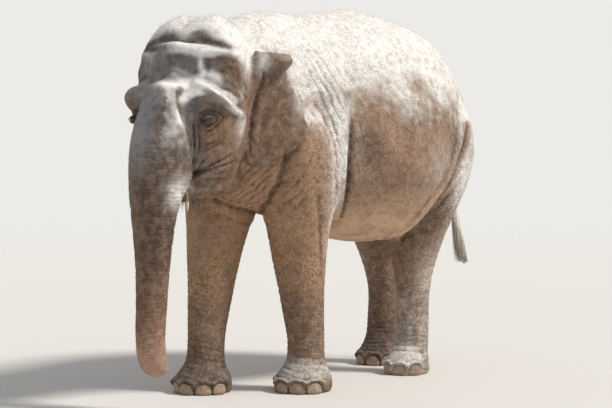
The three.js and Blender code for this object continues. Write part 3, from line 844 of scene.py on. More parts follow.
def middle_line(nodes, heights):
    """Where the middle of a hanging part lies at each height, from the boxes of its lengths."""
    stops = sorted(((middle(n)[2], *middle(n)[:2]) for n in nodes))
    zs, xs, ys = zip(*stops)
    return np.interp(heights, zs, xs), np.interp(heights, zs, ys)


def unrolled(tile, spots, facing):
    """Turn, 0 to 1 round the part, and share of its length, for points on one part."""
    if tile == "body":
        turn = np.arctan2(spots[:, 0], spots[:, 2] - SPINE)
        return turn / math.tau, (spots[:, 1] - TORSO_FRONT) / (TORSO_REAR - TORSO_FRONT)
    if tile == "head":
        ray = in_head(spots) - SKULL_MIDDLE
        level = np.arctan2(ray[:, 2], np.hypot(ray[:, 0], ray[:, 1]))
        return np.arctan2(ray[:, 0], -ray[:, 1]) / math.tau, level / math.pi + 0.5
    if tile.startswith("ear"):
        side = 1 if tile.endswith("left") else -1
        places = in_head(spots) * (side, 1, 1)
        outer = (facing @ ACROSS) * side > 0
        run = np.hypot(places[:, 0] - EAR_ROOT[0], places[:, 1]) / EAR_BROAD
        return np.where(outer, 0.49 * run, 0.51 + 0.49 * run) - 0.5, (places[:, 2] - EAR_LOW) / EAR_TALL
    nodes = [n for n in FLESH if tile_of(n) == tile]
    x, y = middle_line(nodes, spots[:, 2])
    low, high = min(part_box(n)[0][2] for n in nodes), max(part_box(n)[1][2] for n in nodes)
    return np.arctan2(spots[:, 0] - x, y - spots[:, 1]) / math.tau, (spots[:, 2] - low) / (high - low)


def on_map(tile, turn, share):
    """The place on the map of a turn and a share of the length, within a part's tile."""
    left, bottom, right, top = TILES[tile]
    across, up = left + (right - left) * (turn + 0.5), bottom + (top - bottom) * np.clip(share, 0, 1)
    return np.column_stack([across, up])


thirds = read(skin_mesh.loops, "vertex_index", 1, np.int32).reshape(-1, 3)  # the points of each triangle
uv = np.zeros((len(thirds), 3, 2))
point_tile = np.array([tile_of(n) for n in names])
face_tile = point_tile[thirds[:, 0]]
for tile in TILES:
    chosen = np.flatnonzero(face_tile == tile)
    ends = thirds[chosen].ravel()
    turn, share = unrolled(tile, points[ends], normals[ends])
    turn = turn.reshape(-1, 3)
    turn -= np.round(turn - turn[:, :1])  # a face that crosses the seam stays whole
    uv[chosen] = on_map(tile, turn.ravel(), share).reshape(-1, 3, 2)
skin_map = skin_mesh.uv_layers.new(name="OFBake")
skin_map.data.foreach_set("uv", uv.astype(np.float32).ravel())
print("tiles", {t: int((face_tile == t).sum()) for t in TILES})

# %% [markdown]
# ## Where dust and painted highlight lie
# She throws dust over herself, so it lies on the crown, brows and back, thins out down the flank, and
# stays out of the grooves. The same pale is also painted as sunlight on the tops and on the lit shoulder,
# triceps, elbow, buttock and hock. One number per point of the skin says how thick it is. Soft mounds
# lay it on and rub it off, broken up by noise in lumps of 26, 12 and 4.5 cm.

# %% Dust and painted highlight on each point
def linear(code):
    """An sRGB hex colour as linear light."""
    parts = [int(code[i : i + 2], 16) / 255 for i in (1, 3, 5)]
    return tuple(p / 12.92 if p <= 0.04045 else ((p + 0.055) / 1.055) ** 2.4 for p in parts) + (1.0,)


def store(mesh, name, values):
    """Stores one number, or one colour, for each point of a mesh."""
    values = np.asarray(values, np.float32)
    kind, field = ("FLOAT", "value") if values.ndim == 1 else ("FLOAT_COLOR", "color")
    mesh.attributes.new(name, kind, "POINT").data.foreach_set(field, values.ravel())


def band(stops, width, places=head_twin):
    """One along a curve, fading over a width."""
    share = np.zeros(len(points))
    near, away, _ = beside(places, stops, 3 * width)
    share[near] = np.exp(-((away / width) ** 2))
    return share


def mounds(places, rows):
    """Soft mounds added up. Each row is a share, the middle and the reach."""
    return sum(share * mound(places, at, reach) for share, at, reach in rows)


def lay_dust_and_highlight(share):
    """Lays dust and painted highlight wherever there is less of it."""
    dust[:] = np.maximum(dust, share)


up_facing = averaged(normals, links, 3)[:, 2]
on_face = np.clip(masks["head"] + masks["trunk"], 0, 1)
on_body = np.clip(1 - on_face - masks["ear"], 0, 1)
sunlit_head_side = ease(-30, 40, hx)  # her left, the sunlit side, where dust and painted highlight lie thicker
left, rear = bx > 0, by > MIDRIFF
blotch, patch, speck = drift(body, 260, 2.0), drift(body, 120, 7.0), drift(body, 45, 5.0)

flank_spot = mound(body_twin, (545, 450, 1785), (130, 90, 84))
bare = 0.8 * (flank_spot + mound(body_twin, (520, 180, 1765), (130, 60, 66)))
# dust on what faces up, with painted sunlight on the top
settled_and_sunlit = ease(0.05, 0.42, up_facing + 0.16 * blotch + 0.12 * speck)
dust = settled_and_sunlit * ease(1250, 1650, bz) * (1 - 0.8 * flank_spot)
# the upper side takes dust and painted sunlight
upper_side = ease(1600, 1810, bz + 90 * blotch + 30 * speck) * on_body * ease(-620, -450, by)
lay_dust_and_highlight((0.85 + 0.3 * speck) * upper_side * (1 - np.clip(bare, 0, 1)))
# painted highlights where the sun strikes shoulder, arm, elbow, buttock, hock and belly
painted_sunlight = mounds(body_twin, [
    (1.0, (460, -190, 1640), (120, 120, 240)),  # edge of the shoulder
    (1.4, (450, -160, 1330), (100, 80, 240)),  # triceps
    (1.0, (340, -120, 1000), (70, 60, 160)),  # elbow
    (1.2, (420, 1140, 1280), (260, 220, 420)),  # buttock
    (0.5, (320, 860, 600), (90, 110, 200)),  # hock
    (0.3, (590, 640, 1290), (80, 160, 160)),  # side of the belly
])
lay_dust_and_highlight(np.clip((0.75 + 0.35 * speck) * painted_sunlight, 0, 1) * on_body)
print("dusty points on the body", int((dust > 0.5).sum()))

# %% [markdown]
# ## Dust and painted highlight on the head
# On the head dust lies on whatever faces the sky: the shelf of the forehead, the crest of the brow, the
# bump at the trunk's root and the sleeve of the lip. On her sunlit left the same pale is painted highlight.
# Under each of them a hollow stays bare, and so do the shaded side and the ear, as painted shade.

# %% Dust and painted highlight on the high places of the head, painted shade in its hollows
face_dust_and_highlight = 1.3 * band(BROW, 17) * ease(-150, -200, hy)
face_dust_and_highlight += sunlit_head_side * (1.4 * band(SHELF_RIM, 20) + mound(head_twin, (158, -326, 290), (11, 40, 60)))
face_dust_and_highlight += mounds(head_twin, [
    (1.0, (196, -372, 184), (50, 50, 20)),  # crest of the brow
    (0.7, (318, -150, -40), (26, 50, 90)),  # arch of the cheek
    (1.2, (310, -50, 315), (66, 110, 86)),  # behind the temple
])
face_dust_and_highlight += mounds(q, [
    (1.5, (50, -480, 184), (46, 70, 18)),  # nasal bump
    (1.2, (76, -500, 130), (14, 60, 50)),
    (2.2, (6, -340, 402), (88, 70, 30)),  # shelf of the forehead
    (0.9, (150, -520, -400), (50, 90, 84)),  # painted sunlit patch on the sleeve of the lip
    (0.6, (24, -540, -20), (24, 60, 36)),  # front of the trunk
])
lay_dust_and_highlight(np.clip(face_dust_and_highlight * (1 + 0.5 * speck), 0, 1) * on_face)

UNDER_TEMPLE = [(206, -340, 236), (262, -316, 208), (306, -280, 170), (336, -220, 126)]
# painted shade: no dust in the hollows, on most of the ear and on the trunk's right side
bare_in_shade = band(UNDER_DOME, 30) + band(UNDER_TEMPLE, 26) + band(CREVICE, 14)
bare_in_shade += mounds(head_twin, [
    (1.0, (262, -240, 282), (56, 110, 52)),  # temple
    (1.0, (312, -210, 232), (60, 90, 60)),
    (1.0, (320, -235, 190), (56, 90, 52)),
    (1.0, (244, -390, 20), (80, 90, 70)),  # eye
    (1.0, (250, -300, -110), (90, 130, 130)),  # cheek
])
bare_in_shade += mounds(q, [
    (1.0, (-90, -340, 388), (90, 60, 30)),  # right half of the shelf
    (0.9, (-190, -290, 396), (100, 80, 40)),
    (1.0, (-90, -290, 466), (90, 80, 26)),  # between the domes
    (1.0, (10, -410, 238), (150, 80, 40)),  # dish above the trunk's root
    (1.0, (-50, -500, 110), (100, 90, 90)),  # right half of the root
])
bare_in_shade += 0.9 * masks["trunk"] * (hx < 80) * ease(150, 110, hz)
bare_in_shade += 0.85 * masks["ear"] * (1 - 0.9 * mound(head_twin, (450, 230, 230), (120, 90, 110)))
dust *= 1 - np.clip(bare_in_shade, 0, 1)
# painted shade: little dust on the right, shaded side of the face
dust *= 1 - 0.85 * on_face * (1 - sunlit_head_side) * ease(330, 280, hz)
print("dusty points now", int((dust > 0.5).sum()))

# %% [markdown]
# ## Dust and painted highlight on neck, ears, feet, tail and thigh
# Dust that falls short of the back lands on the top of the neck, the ear's outer rim, the thigh and the
# feet; on her lit left these, the hind leg and the tail also take painted sunlight. The front of the thigh
# and her right feet are left bare as painted shade. The deep folds and every smaller groove are wiped
# clean as the hide moves, which also leaves painted shade in them.

# %% Dust and painted highlight on neck, ears, feet, tail and thigh, painted shade in the folds
# dust and painted highlight on the lit top of the neck
neck_top_dust_and_highlight = np.clip(1.2 * mound(head_twin, (280, 30, 340), (80, 90, 110)), 0, 1) * (1 - masks["ear"])
lay_dust_and_highlight(neck_top_dust_and_highlight * (1 + 0.3 * speck))
# dust and painted highlight on the ear's lit outer part
ear_dust_and_highlight = mounds(head_twin, [(1.0, (450, 250, 130), (46, 60, 110)), (0.8, (404, 200, 250), (50, 70, 50))])
ear_dust_and_highlight += 0.9 * mound(q, (360, 10, 320), (34, 40, 60))
lay_dust_and_highlight(np.clip(1.05 * ear_dust_and_highlight * (1 + 0.4 * speck), 0, 1) * masks["ear"] * sunlit_head_side)
# painted highlight on her lit left feet, painted shade on her right ones
feet_dust_and_highlight = ease(330, 150, bz) * on_body * ease(0.05, 0.5, up_facing + 0.15 * speck)
lay_dust_and_highlight(feet_dust_and_highlight * np.where(left, np.where(rear, 0.85, 0.45), 0.05))
# painted highlight on the lit tail
lay_dust_and_highlight(0.85 * masks["tail"] * ease(1150, 1000, bz))
# painted highlight on her lit left hind leg
lay_dust_and_highlight((0.3 + 0.4 * speck) * ease(700, 300, bz) * rear * left)
lay_dust_and_highlight(np.clip((1.1 + 0.3 * speck) * mound(body_twin, (510, 985, 1200), (110, 110, 270)), 0, 1))  # painted highlight on the lit thigh
# painted shade: no dust on the front of the thigh
dust *= 1 - 0.9 * mound(body_twin, (420, 770, 990), (240, 120, 210))
# no dust beside the deep folds and in the grooves, which leaves painted shade there
for line in (ARM_EDGE, FLANK_FOLD):
    dust *= 1 - 0.8 * band([(x, y + 26, z) for x, y, z in line], 30, body_twin)
dust *= 1 - np.clip(cavity, 0, 1) * 0.85
# the stored share is dust and painted highlight together
store(skin_mesh, "dust", np.clip(dust, 0, 1))
print("dusty points in all", int((dust > 0.5).sum()))

# %% [markdown]
# ## The hide's colour, with painted light and shade
# Under the dust she is grey-brown and warmer on the chest. Belly and forelegs are paler and warmer with
# painted bounced light, the brow and the face's front take a painted blue-grey shade, and hollows and
# folds are painted dark as shade. Old Asian elephants lose their pigment at the ears' front edge and the
# trunk's tip, which turn pink. First comes where each of these lies, as a share for every point.

# %% Where the tint changes
# her left side, where the trunk is painted with shade
shaded_trunk_side = ease(-60, 120, hx)
feet_and_shins = masks["foot"] + masks["lower_leg"]
forelegs = (masks["upper_leg"] + masks["lower_leg"]) * ~rear
fold_y = np.interp(bz, *zip(*[(z, y) for _, y, z in FLANK_FOLD[::-1]]))
# painted shade on the thigh ahead of the flank fold
thigh_front_shade = mound(body_twin, (430, 745, 985), (240, 130, 220)) * ease(-6, 26, by - fold_y)
# painted blue-grey shade on the front of the face and the forehead
cool_shade = on_face * ease(-190, -320, hy) * ease(-560, -40, hz)
cool_shade *= 1 - np.clip(1.3 * mound(head_twin, (270, -340, -80), (100, 140, 190)), 0, 1)
# painted sky light and painted shade on the trunk's root
trunk_root_light_and_shade = 0.9 * cool_shade * masks["trunk"] * ease(150, 60, hz)
trunk_length = masks["trunk"] * ease(-60, -420, hz) * ease(-1000, -700, hz)
pink = np.maximum(0.9 * ease(-1050, -1300, hz + 60 * speck) * masks["trunk"],
                  0.9 * band(EAR_EDGE, 11) * ease(-0.9, 0.1, speck + 0.1))
# painted shade between the domes
shade_between_domes = mound(q, (-90, -290, 466), (90, 80, 24))
# painted shade in the eye's opening, its folds, the hollows and the mouth's corner
painted_shade = [socket, 0.8 * shade_between_domes]
painted_shade += [0.95 * band(UNDER_DOME, 24), 0.95 * band(UNDER_TEMPLE, 32), band(CREVICE, 9)]
painted_shade += [share * mound(head_twin, at, reach) for share, at, reach in (
    (0.95, (268, -236, 262), (70, 110, 74)),  # temple
    (0.85, (322, -170, 190), (40, 80, 90)),
    (0.9, (318, -240, 196), (50, 90, 46)),
    (1.1, (152, -350, -296), (52, 60, 34)),  # corner of the mouth
    (0.5, (206, -310, -262), (60, 60, 30)),
    (0.5, (244, -380, 62), (70, 60, 24)),  # under the brow
    (1.1, (228, -376, 8), (62, 60, 42)),  # eye
)]
loin = masks["torso"] * np.exp(-(((bz - 1450) / 200) ** 2))
fold_shade = np.zeros(len(points))
for line, share in ((ARM_EDGE, 0.05), (FLANK_FOLD, 0.85)):
    near, away, along = beside(body_twin, [(x, y + 22, z) for x, y, z in line], 110)
    shade = np.exp(-((away / 34) ** 2)) * np.sin(np.pi * along) ** 0.5 * ease(1480, 1200, bz[near])
    fold_shade[near] = np.maximum(fold_shade[near], share * shade)
print("pink points", int((pink > 0.5).sum()), "points in folds", int((fold_shade > 0.3).sum()))

# %% [markdown]
# ## Layers of tint
# The colours are laid one over another, as a painter glazes a cast: broad tones first, then the parts,
# then painted light and the painted shade of hollows and grooves. Each layer draws the tint towards its
# colour by its share.

# %% Tint of each point
tint = np.tile(np.array(linear("#a08169")), (len(points), 1))
for share, code in [
    (0.7 * ease(-0.4, 0.5, blotch), "#8a6d5a"),
    (0.6 * ease(0.0, 0.55, patch), "#b3957e"),
    (0.95 * ease(1240, 940, bz) * masks["torso"] * ease(-300, -100, by), "#ecc6a2"),  # belly, paler and warmer with painted light bounced from the floor
    (0.9 * loin * ease(-0.3, 0.4, blotch), "#6b5142"),
    (0.8 * ease(-330, -430, by) * on_body, "#bc9472"),  # neck and chest
    # forelegs, paler upwards with painted bounced light
    (0.75 * forelegs * ease(300, 900, bz + 120 * patch), "#bd9674"),
    (0.35 * ease(0.0, 0.4, -patch) * on_body, "#806450"),
    ((0.8 * masks["foot"] + 0.6 * masks["lower_leg"]) * ease(620, 480, bz), "#7b6655"),
    # painted shade on her right feet and shins
    (0.8 * ease(420, 130, bz) * feet_and_shins * (bx < 0), "#4e433d"),
    (0.95 * masks["ear"], "#69513f"),
    (0.85 * on_face, "#765843"),
    # painted shade on the thigh ahead of the fold
    (0.9 * thigh_front_shade, "#423126"),
    # painted blue-grey shade on the face
    (0.9 * cool_shade + 0.5 * on_face * ease(330, 430, hz), "#80838a"),
    # painted sky light on the trunk root's right side, painted shade on its left
    (trunk_root_light_and_shade * (1 - shaded_trunk_side), "#989aa1"),
    (trunk_root_light_and_shade * shaded_trunk_side, "#463c35"),
    (0.75 * trunk_length, "#6b5647"),
    # painted shade down the trunk's left side
    (0.6 * trunk_length * shaded_trunk_side, "#3d2f27"),
    (pink, "#c29a85"),
    # painted shade in the hollows, the eye's opening and the mouth's corner
    (0.85 * np.max(painted_shade, axis=0), "#3f3129"),
    (0.65 * mound(head_twin, (150, -430, 70), (44, 60, 84)), "#46484e"),  # painted blue shade beside the trunk's root
    # painted blue shade under and between the domes
    (0.8 * band(UNDER_DOME, 26) + 0.6 * shade_between_domes, "#45474d"),
    # painted shade in the crevice before the ear
    (0.8 * band(CREVICE, 7), "#241b16"),
    (0.7 * mound(head_twin, (222, -376, 12), (44, 50, 26)), "#33271f"),  # painted shade round the eye
    (fold_shade, "#4a382d"),
    # painted shade in the grooves
    (0.75 * ease(0.0, 0.9, cavity), "#453429"),
]:
    tint += np.clip(share, 0, 1)[:, None] * (np.array(linear(code)) - tint)
store(skin_mesh, "tint", tint)
print("mean tint", tint.mean(0).round(3))

# %% [markdown]
# ## Where each pattern of lines runs
# The trunk takes rings, the limbs long level wrinkles, and belly, ears and forehead are calmer than the
# thigh and the upper arm. Four more numbers per point tell the material where it is on the animal.

# %% Rings, limbs and creases of each point
store(skin_mesh, "ring", along_trunk * MM)
store(skin_mesh, "trunk", masks["trunk"] * (0.25 * ease(150, 0, hz) + 0.75 * ease(-200, -600, hz)))
store(skin_mesh, "limb", np.clip(feet_and_shins + 0.6 * masks["upper_leg"], 0, 1))
busy = mound(body_twin, (440, 930, 1050), (240, 240, 330)) + 0.6 * ease(900, 700, bz)  # thigh and low legs
busy = np.clip(busy + mound(body_twin, (440, -200, 1250), (160, 200, 420)), 0, 1)  # upper arm
calm = np.clip(masks["trunk"] + 0.75 * masks["ear"] + 0.55 * ease(1000, 760, bz) * masks["torso"], 0, 1)
calm = np.maximum(calm, 0.6 * on_face * ease(-220, -330, hy) * ease(0, 120, hz))
creasing = (1 - calm) * (0.85 + 0.5 * patch) * (1 - 0.4 * on_face) * (1 + 0.9 * busy)
store(skin_mesh, "creased", np.clip(creasing, 0, 2.2))
print("calm points", int((calm > 0.5).sum()), "busy points", int((busy > 0.5).sum()))

# %% [markdown]
# ## Two helpers for materials
# A material is a tree of nodes. One function adds any node with its settings and links, and one starts
# a material from the roughness, shine and index of refraction of the real thing.

# %% Add a node, start a material
def add_node(tree, kind, inputs=None, **settings):
    """Adds a node, sets it up, and fills its inputs with values or with other nodes' outputs."""
    node = tree.nodes.new(kind)
    for name, value in settings.items():
        setattr(node, name, value)
    for name, value in (inputs or {}).items():
        value = value.outputs[0] if isinstance(value, bpy.types.Node) else value
        if isinstance(value, bpy.types.NodeSocket):
            tree.links.new(value, node.inputs[name])
        else:
            node.inputs[name].default_value = value
    return node


def new_material(name, roughness, specular=0.5, ior=1.45):
    made = bpy.data.materials.new(name)
    made.use_nodes = True
    shader = made.node_tree.nodes["Principled BSDF"]
    shader.inputs["Roughness"].default_value = roughness
    shader.inputs["Specular IOR Level"].default_value = specular
    shader.inputs["IOR"].default_value = ior
    return made, made.node_tree, shader


print("helpers for materials ready")

# %% [markdown]
# ## Hide
# Elephant hide is 20 mm thick, dry and dull, the grey-brown of the mud she wallows in. Its cracks part
# it into plates 10 to 30 mm across, long and level on the limbs, and rings on the trunk. The lines come
# from noise: where it crosses its middle value there is a crease, and a Voronoi pattern gives the plates.

# %% Patterns of the hide
hide, tree, hide_shader = new_material("elephant_hide", 0.84, 0.3)
place = add_node(tree, "ShaderNodeTexCoord").outputs["Object"]
kept = {}
for name in ("tint", "dust", "ring", "trunk", "limb", "creased"):
    stored = add_node(tree, "ShaderNodeAttribute", attribute_name=name)
    kept[name] = stored.outputs["Color" if name == "tint" else "Fac"]

bend = add_node(tree, "ShaderNodeTexNoise", {"Vector": place, "Scale": 22, "Detail": 2})
wandering = add_node(tree, "ShaderNodeVectorMath", {0: bend.outputs["Color"], 1: (0.035,) * 3, 2: place},
                     operation="MULTIPLY_ADD")
fleck = add_node(tree, "ShaderNodeTexNoise", {"Vector": place, "Scale": 24, "Detail": 5, "Roughness": 0.68})
grit = add_node(tree, "ShaderNodeTexNoise", {"Vector": place, "Scale": 160, "Detail": 3})

wave = []
for size, stretch in ((19 * MM, (1, 1, 1.4)), (30 * MM, (0.7, 0.7, 2.8))):  # on the body, on the limbs
    laid = add_node(tree, "ShaderNodeMapping", {"Vector": wandering, "Scale": stretch})
    texture = {"Vector": laid, "Scale": 1 / size, "Detail": 2.5, "Roughness": 0.55}
    wave.append(add_node(tree, "ShaderNodeTexNoise", texture))
wave = add_node(tree, "ShaderNodeMix", {0: kept["limb"], 2: wave[0], 3: wave[1]}, data_type="FLOAT")
off_middle = add_node(tree, "ShaderNodeMath", {0: wave, 1: 0.5}, operation="SUBTRACT")
off_middle = add_node(tree, "ShaderNodeMath", {0: off_middle}, operation="ABSOLUTE")
span = {"Value": off_middle, "From Max": 0.13, "To Min": 1, "To Max": 0}
crease = add_node(tree, "ShaderNodeMapRange", span)
gaps = add_node(tree, "ShaderNodeTexNoise", {"Vector": place, "Scale": 70, "Detail": 1})
gaps = add_node(tree, "ShaderNodeMapRange", {"Value": gaps, "From Min": 0.36, "From Max": 0.54})
for change, by_value in (("POWER", 1.3), ("MULTIPLY", kept["creased"]), ("MULTIPLY", gaps)):
    crease = add_node(tree, "ShaderNodeMath", {0: crease, 1: by_value}, operation=change)

PLATE, FINE_RING = 12 * MM, 10.5 * MM  # breadth of the small plates, and from ring to ring
laid = add_node(tree, "ShaderNodeMapping", {"Vector": wandering, "Scale": (1, 1, 1.4)})
plate = add_node(tree, "ShaderNodeTexVoronoi", {"Vector": laid, "Scale": 1 / PLATE},
                 feature="DISTANCE_TO_EDGE")
crack = add_node(tree, "ShaderNodeMapRange", {"Value": plate, "From Max": 0.30, "To Min": 1, "To Max": 0})
turn = bend.outputs["Fac"]
for pattern, share in ((kept["ring"], math.pi / FINE_RING), (fleck, 11.0)):
    turn = add_node(tree, "ShaderNodeMath", {0: pattern, 1: share, 2: turn}, operation="MULTIPLY_ADD")
ring = add_node(tree, "ShaderNodeMath", {0: turn}, operation="SINE")
ring = add_node(tree, "ShaderNodeMath", {0: ring}, operation="ABSOLUTE")
ring = add_node(tree, "ShaderNodeMapRange", {"Value": ring, "From Max": 0.55, "To Min": 1, "To Max": 0})
ring = add_node(tree, "ShaderNodeMath", {0: ring, 1: kept["trunk"]}, operation="MULTIPLY")
print("hide patterns", len(tree.nodes), "nodes")

# %% [markdown]
# ## Colour and relief of the hide
# Colour comes from flecks on the tint, painted shade along the creases, cracks and rings, and then pale
# dust and painted highlight on whatever stands proud of them. The same patterns press the relief, so that
# each line of painted shade is also a groove that catches the light.

# %% Colour, dullness and relief
# painted shade along creases, cracks and trunk rings
crease_shade = 0.0
for pattern, share in ((crease, 0.23), (crack, 0.16), (ring, 0.4)):
    crease_shade = add_node(tree, "ShaderNodeMath", {0: pattern, 1: share, 2: crease_shade}, operation="MULTIPLY_ADD")
crease_shade.use_clamp = True
proud = add_node(tree, "ShaderNodeMath", {0: crease_shade, 1: -0.9, 2: 1.0}, operation="MULTIPLY_ADD",
                 use_clamp=True)
from_fleck = []
for start, end, low, high in (
    (0.42, 0.72, 0, 0.4),  # paler
    (0.5, 0.28, 0, 0.35),  # darker
    (0.25, 0.55, 0.6, 1.2),  # broken dust
    (0.3, 0.75, 0.76, 0.93),  # roughness
):
    span = {"Value": fleck, "From Min": start, "From Max": end, "To Min": low, "To Max": high}
    from_fleck.append(add_node(tree, "ShaderNodeMapRange", span))
paler, darker, broken, matt = from_fleck
# dust and painted highlight, kept off the lines of painted shade
dusty_and_lit = kept["dust"]
for share in (broken, proud):
    dusty_and_lit = add_node(tree, "ShaderNodeMath", {0: dusty_and_lit, 1: share}, operation="MULTIPLY")
dusty_and_lit.use_clamp = True

colour = kept["tint"]
for share, code in ((paler, "#c9b3a0"), (darker, "#54402f"), (crease_shade, "#453429"), (dusty_and_lit, "#f2efea")):
    mixed = add_node(tree, "ShaderNodeMix", {0: share, 6: colour, 7: linear(code)}, data_type="RGBA")
    colour = mixed.outputs[2]
tree.links.new(colour, hide_shader.inputs["Base Color"])
tree.links.new(matt.outputs[0], hide_shader.inputs["Roughness"])

relief = 0.0
for pattern, tall in ((crease, -1.0), (crack, -0.30), (ring, -0.55), (fleck, 1.2), (grit, 0.15)):
    relief = add_node(tree, "ShaderNodeMath", {0: pattern, 1: tall, 2: relief}, operation="MULTIPLY_ADD")
bump = add_node(tree, "ShaderNodeBump", {"Height": relief, "Strength": 1.0, "Distance": 3 * MM})
tree.links.new(bump.outputs["Normal"], hide_shader.inputs["Normal"])
skin_mesh.materials.clear()
skin_mesh.materials.append(hide)
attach(skin, "root")
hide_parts(*FLESH)
print("hide on", len(skin_mesh.polygons), "faces")

# %% [markdown]
# ## Eyes
# The eyeball is 44 mm across, amber-brown with a round pupil and a dark rim, and wet. A sphere from the
# bmesh operators is turned to look out of the lids, and its cornea is drawn forward a little. One value
# per point, the angle from the line of sight, colours pupil, iris and white in rings.

# %% Eyeballs
def eyeball(side):
    """A ball that looks out of the lids, with a bulging cornea."""
    forward, rise, out = EYE_AXES[side]
    sight = Vector(out + 0.18 * forward - 0.05 * rise).normalized()
    ball = bmesh.new()
    bmesh.ops.create_uvsphere(ball, u_segments=48, v_segments=32, radius=BALL * MM)
    turn = Vector((0, 0, 1)).rotation_difference(sight)
    angles = []
    for vert in ball.verts:
        angle = math.degrees(vert.co.angle(Vector((0, 0, 1))))
        angles.append(angle)
        vert.co *= 1 + 0.05 * float(ease(38, 22, angle))
        vert.co = turn @ vert.co
        vert.co += Vector(EYES[side])
    made = finished(ball, "eyeball_" + side)
    store(made.data, "from_sight", angles)
    return made


eye_finish, tree, eye_shader = new_material("wet_eye", 0.06, 0.5, 1.376)
place = add_node(tree, "ShaderNodeTexCoord").outputs["Object"]
angle = add_node(tree, "ShaderNodeAttribute", attribute_name="from_sight").outputs["Fac"]
streaks = add_node(tree, "ShaderNodeTexNoise", {"Vector": place, "Scale": 800, "Detail": 4})
clouds = add_node(tree, "ShaderNodeTexNoise", {"Vector": place, "Scale": 160, "Detail": 3})
mottled = []
for pattern, low, high in ((streaks, "#3f2513", "#6b4423"), (clouds, "#44342b", "#5f4c41")):
    ends = {0: pattern, 6: linear(low), 7: linear(high)}
    mottled.append(add_node(tree, "ShaderNodeMix", ends, data_type="RGBA").outputs[2])
iris, white = mottled
colour = linear("#060403")  # the pupil, then each ring outwards by its angle in degrees
for start, end, outer in ((11, 13, iris), (27, 31, linear("#1c120c")), (34, 44, white)):
    edge = add_node(tree, "ShaderNodeMapRange", {"Value": angle, "From Min": start, "From Max": end})
    colour = add_node(tree, "ShaderNodeMix", {0: edge, 6: colour, 7: outer}, data_type="RGBA").outputs[2]
tree.links.new(colour, eye_shader.inputs["Base Color"])
eye_shader.inputs["Coat Weight"].default_value = 1.0
eye_shader.inputs["Coat Roughness"].default_value = 0.03
for side in EYES:
    eye = eyeball(side)
    eye.data.materials.append(eye_finish)
    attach(eye, "root")
    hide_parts("eye_" + side)
    print("eyeball", side, len(eye.data.polygons), "faces")

# %% [markdown]
# ## One hair, many times
# An elephant is thinly haired: stiff bristles up to 60 mm long stand on the crown, back and chin, short
# ones on the trunk, ears and flanks. Each is a solid three-sided spike, planted on the hide, with its
# map patch at its root's place, so that it takes the markings there. Real ones are 0.5 mm thick; these
# are 1 to 2 mm at the root and the brush's 4, to survive at life size.

# %% A hair and how it is planted
chance = np.random.default_rng(11)


def spike():
    """One hair of unit length and breadth, with its root at the origin."""
    work = bmesh.new()
    bmesh.ops.create_cone(work, cap_ends=True, segments=3, radius1=1, radius2=0, depth=1)
    for level in (-1 / 6, 1 / 6):
        whole = work.verts[:] + work.edges[:] + work.faces[:]
        bmesh.ops.bisect_plane(work, geom=whole, plane_co=(0, 0, level), plane_no=(0, 0, 1))
    work.verts.index_update()
    faces = [[v.index for v in f.verts] for f in work.faces]
    return np.array([v.co for v in work.verts]) + (0, 0, 0.5), faces


SPIKE, SPIKE_FACES = spike()
HAIR_PATCH = 0.0014  # half the breadth of a hair's patch on the map
first, second, third = points[thirds].transpose(1, 0, 2)
areas = 0.5 * np.linalg.norm(np.cross(second - first, third - first), axis=1)


def rooted(count, weight):
    """Random places on the skin, denser where the weight of its points is greater."""
    odds = weight[thirds].mean(1) * areas
    faces = chance.choice(len(thirds), count, p=odds / odds.sum())
    share = chance.random((count, 2))
    share = np.where(share.sum(1)[:, None] > 1, 1 - share, share)
    share = np.column_stack([1 - share.sum(1), share])[:, :, None]
    spots, lean = (points[thirds[faces]] * share).sum(1), (normals[thirds[faces]] * share).sum(1)
    return spots, lean, (uv[faces] * share).sum(1), thirds[faces, 0]


def planted(spots, lean, lengths, breadth, droop):
    """The points of one bent spike for each root, sunk 3 mm into the hide."""
    lean = lean / np.linalg.norm(lean, axis=1)[:, None]
    across = np.cross(lean, chance.normal(size=lean.shape))
    across /= np.linalg.norm(across, axis=1)[:, None]
    over = np.cross(lean, across)
    t = SPIKE[None, :, 2:]
    long = lengths[:, None, None] * MM
    run = lean[:, None] * t * long - np.array(UP) * (t**2 * long * droop)
    girth = (across[:, None] * SPIKE[None, :, :1] + over[:, None] * SPIKE[None, :, 1:2]) * breadth * MM
    return spots[:, None] - lean[:, None] * 3 * MM + run + girth


def coat(name, groups, paleness=0.0):
    """One piece from groups of (spike points, root places on the map, root points of the skin)."""
    grown = np.concatenate([g[0] for g in groups])
    root_uv, root = np.concatenate([g[1] for g in groups]), np.concatenate([g[2] for g in groups])
    each = len(SPIKE)
    faces = [[v + each * i for v in face] for i in range(len(grown)) for face in SPIKE_FACES]
    mesh = bpy.data.meshes.new(name)
    mesh.from_pydata(grown.reshape(-1, 3).tolist(), [], faces)
    corner = read(mesh.loops, "vertex_index", 1, np.int32).ravel()
    on_patch = np.column_stack([SPIKE[:, 0], 2 * SPIKE[:, 2] - 1])[corner % each]
    patch_uv = root_uv[corner // each] + on_patch * HAIR_PATCH
    mesh.uv_layers.new(name="OFBake").data.foreach_set("uv", patch_uv.astype(np.float32).ravel())
    shade = np.clip(paleness + 0.8 * dust[root] + 0.3 * chance.random(len(root)) - 0.1, 0, 1)
    store(mesh, "shade", np.repeat(shade, each))
    shaded_smooth(mesh)
    mesh.materials.append(hair)
    piece = thing(name, mesh)
    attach(piece, "root")
    print(name, len(grown), "hairs")


print("one hair has", len(SPIKE), "points and", len(SPIKE_FACES), "faces")

# %% [markdown]
# ## Bristles over the hide
# Bristles stand thickest on the crown and chin and along the back. Keratin hair has a dull sheen; a
# hair's tone goes from clean dark brown to pale by the dust and painted highlight at its root.

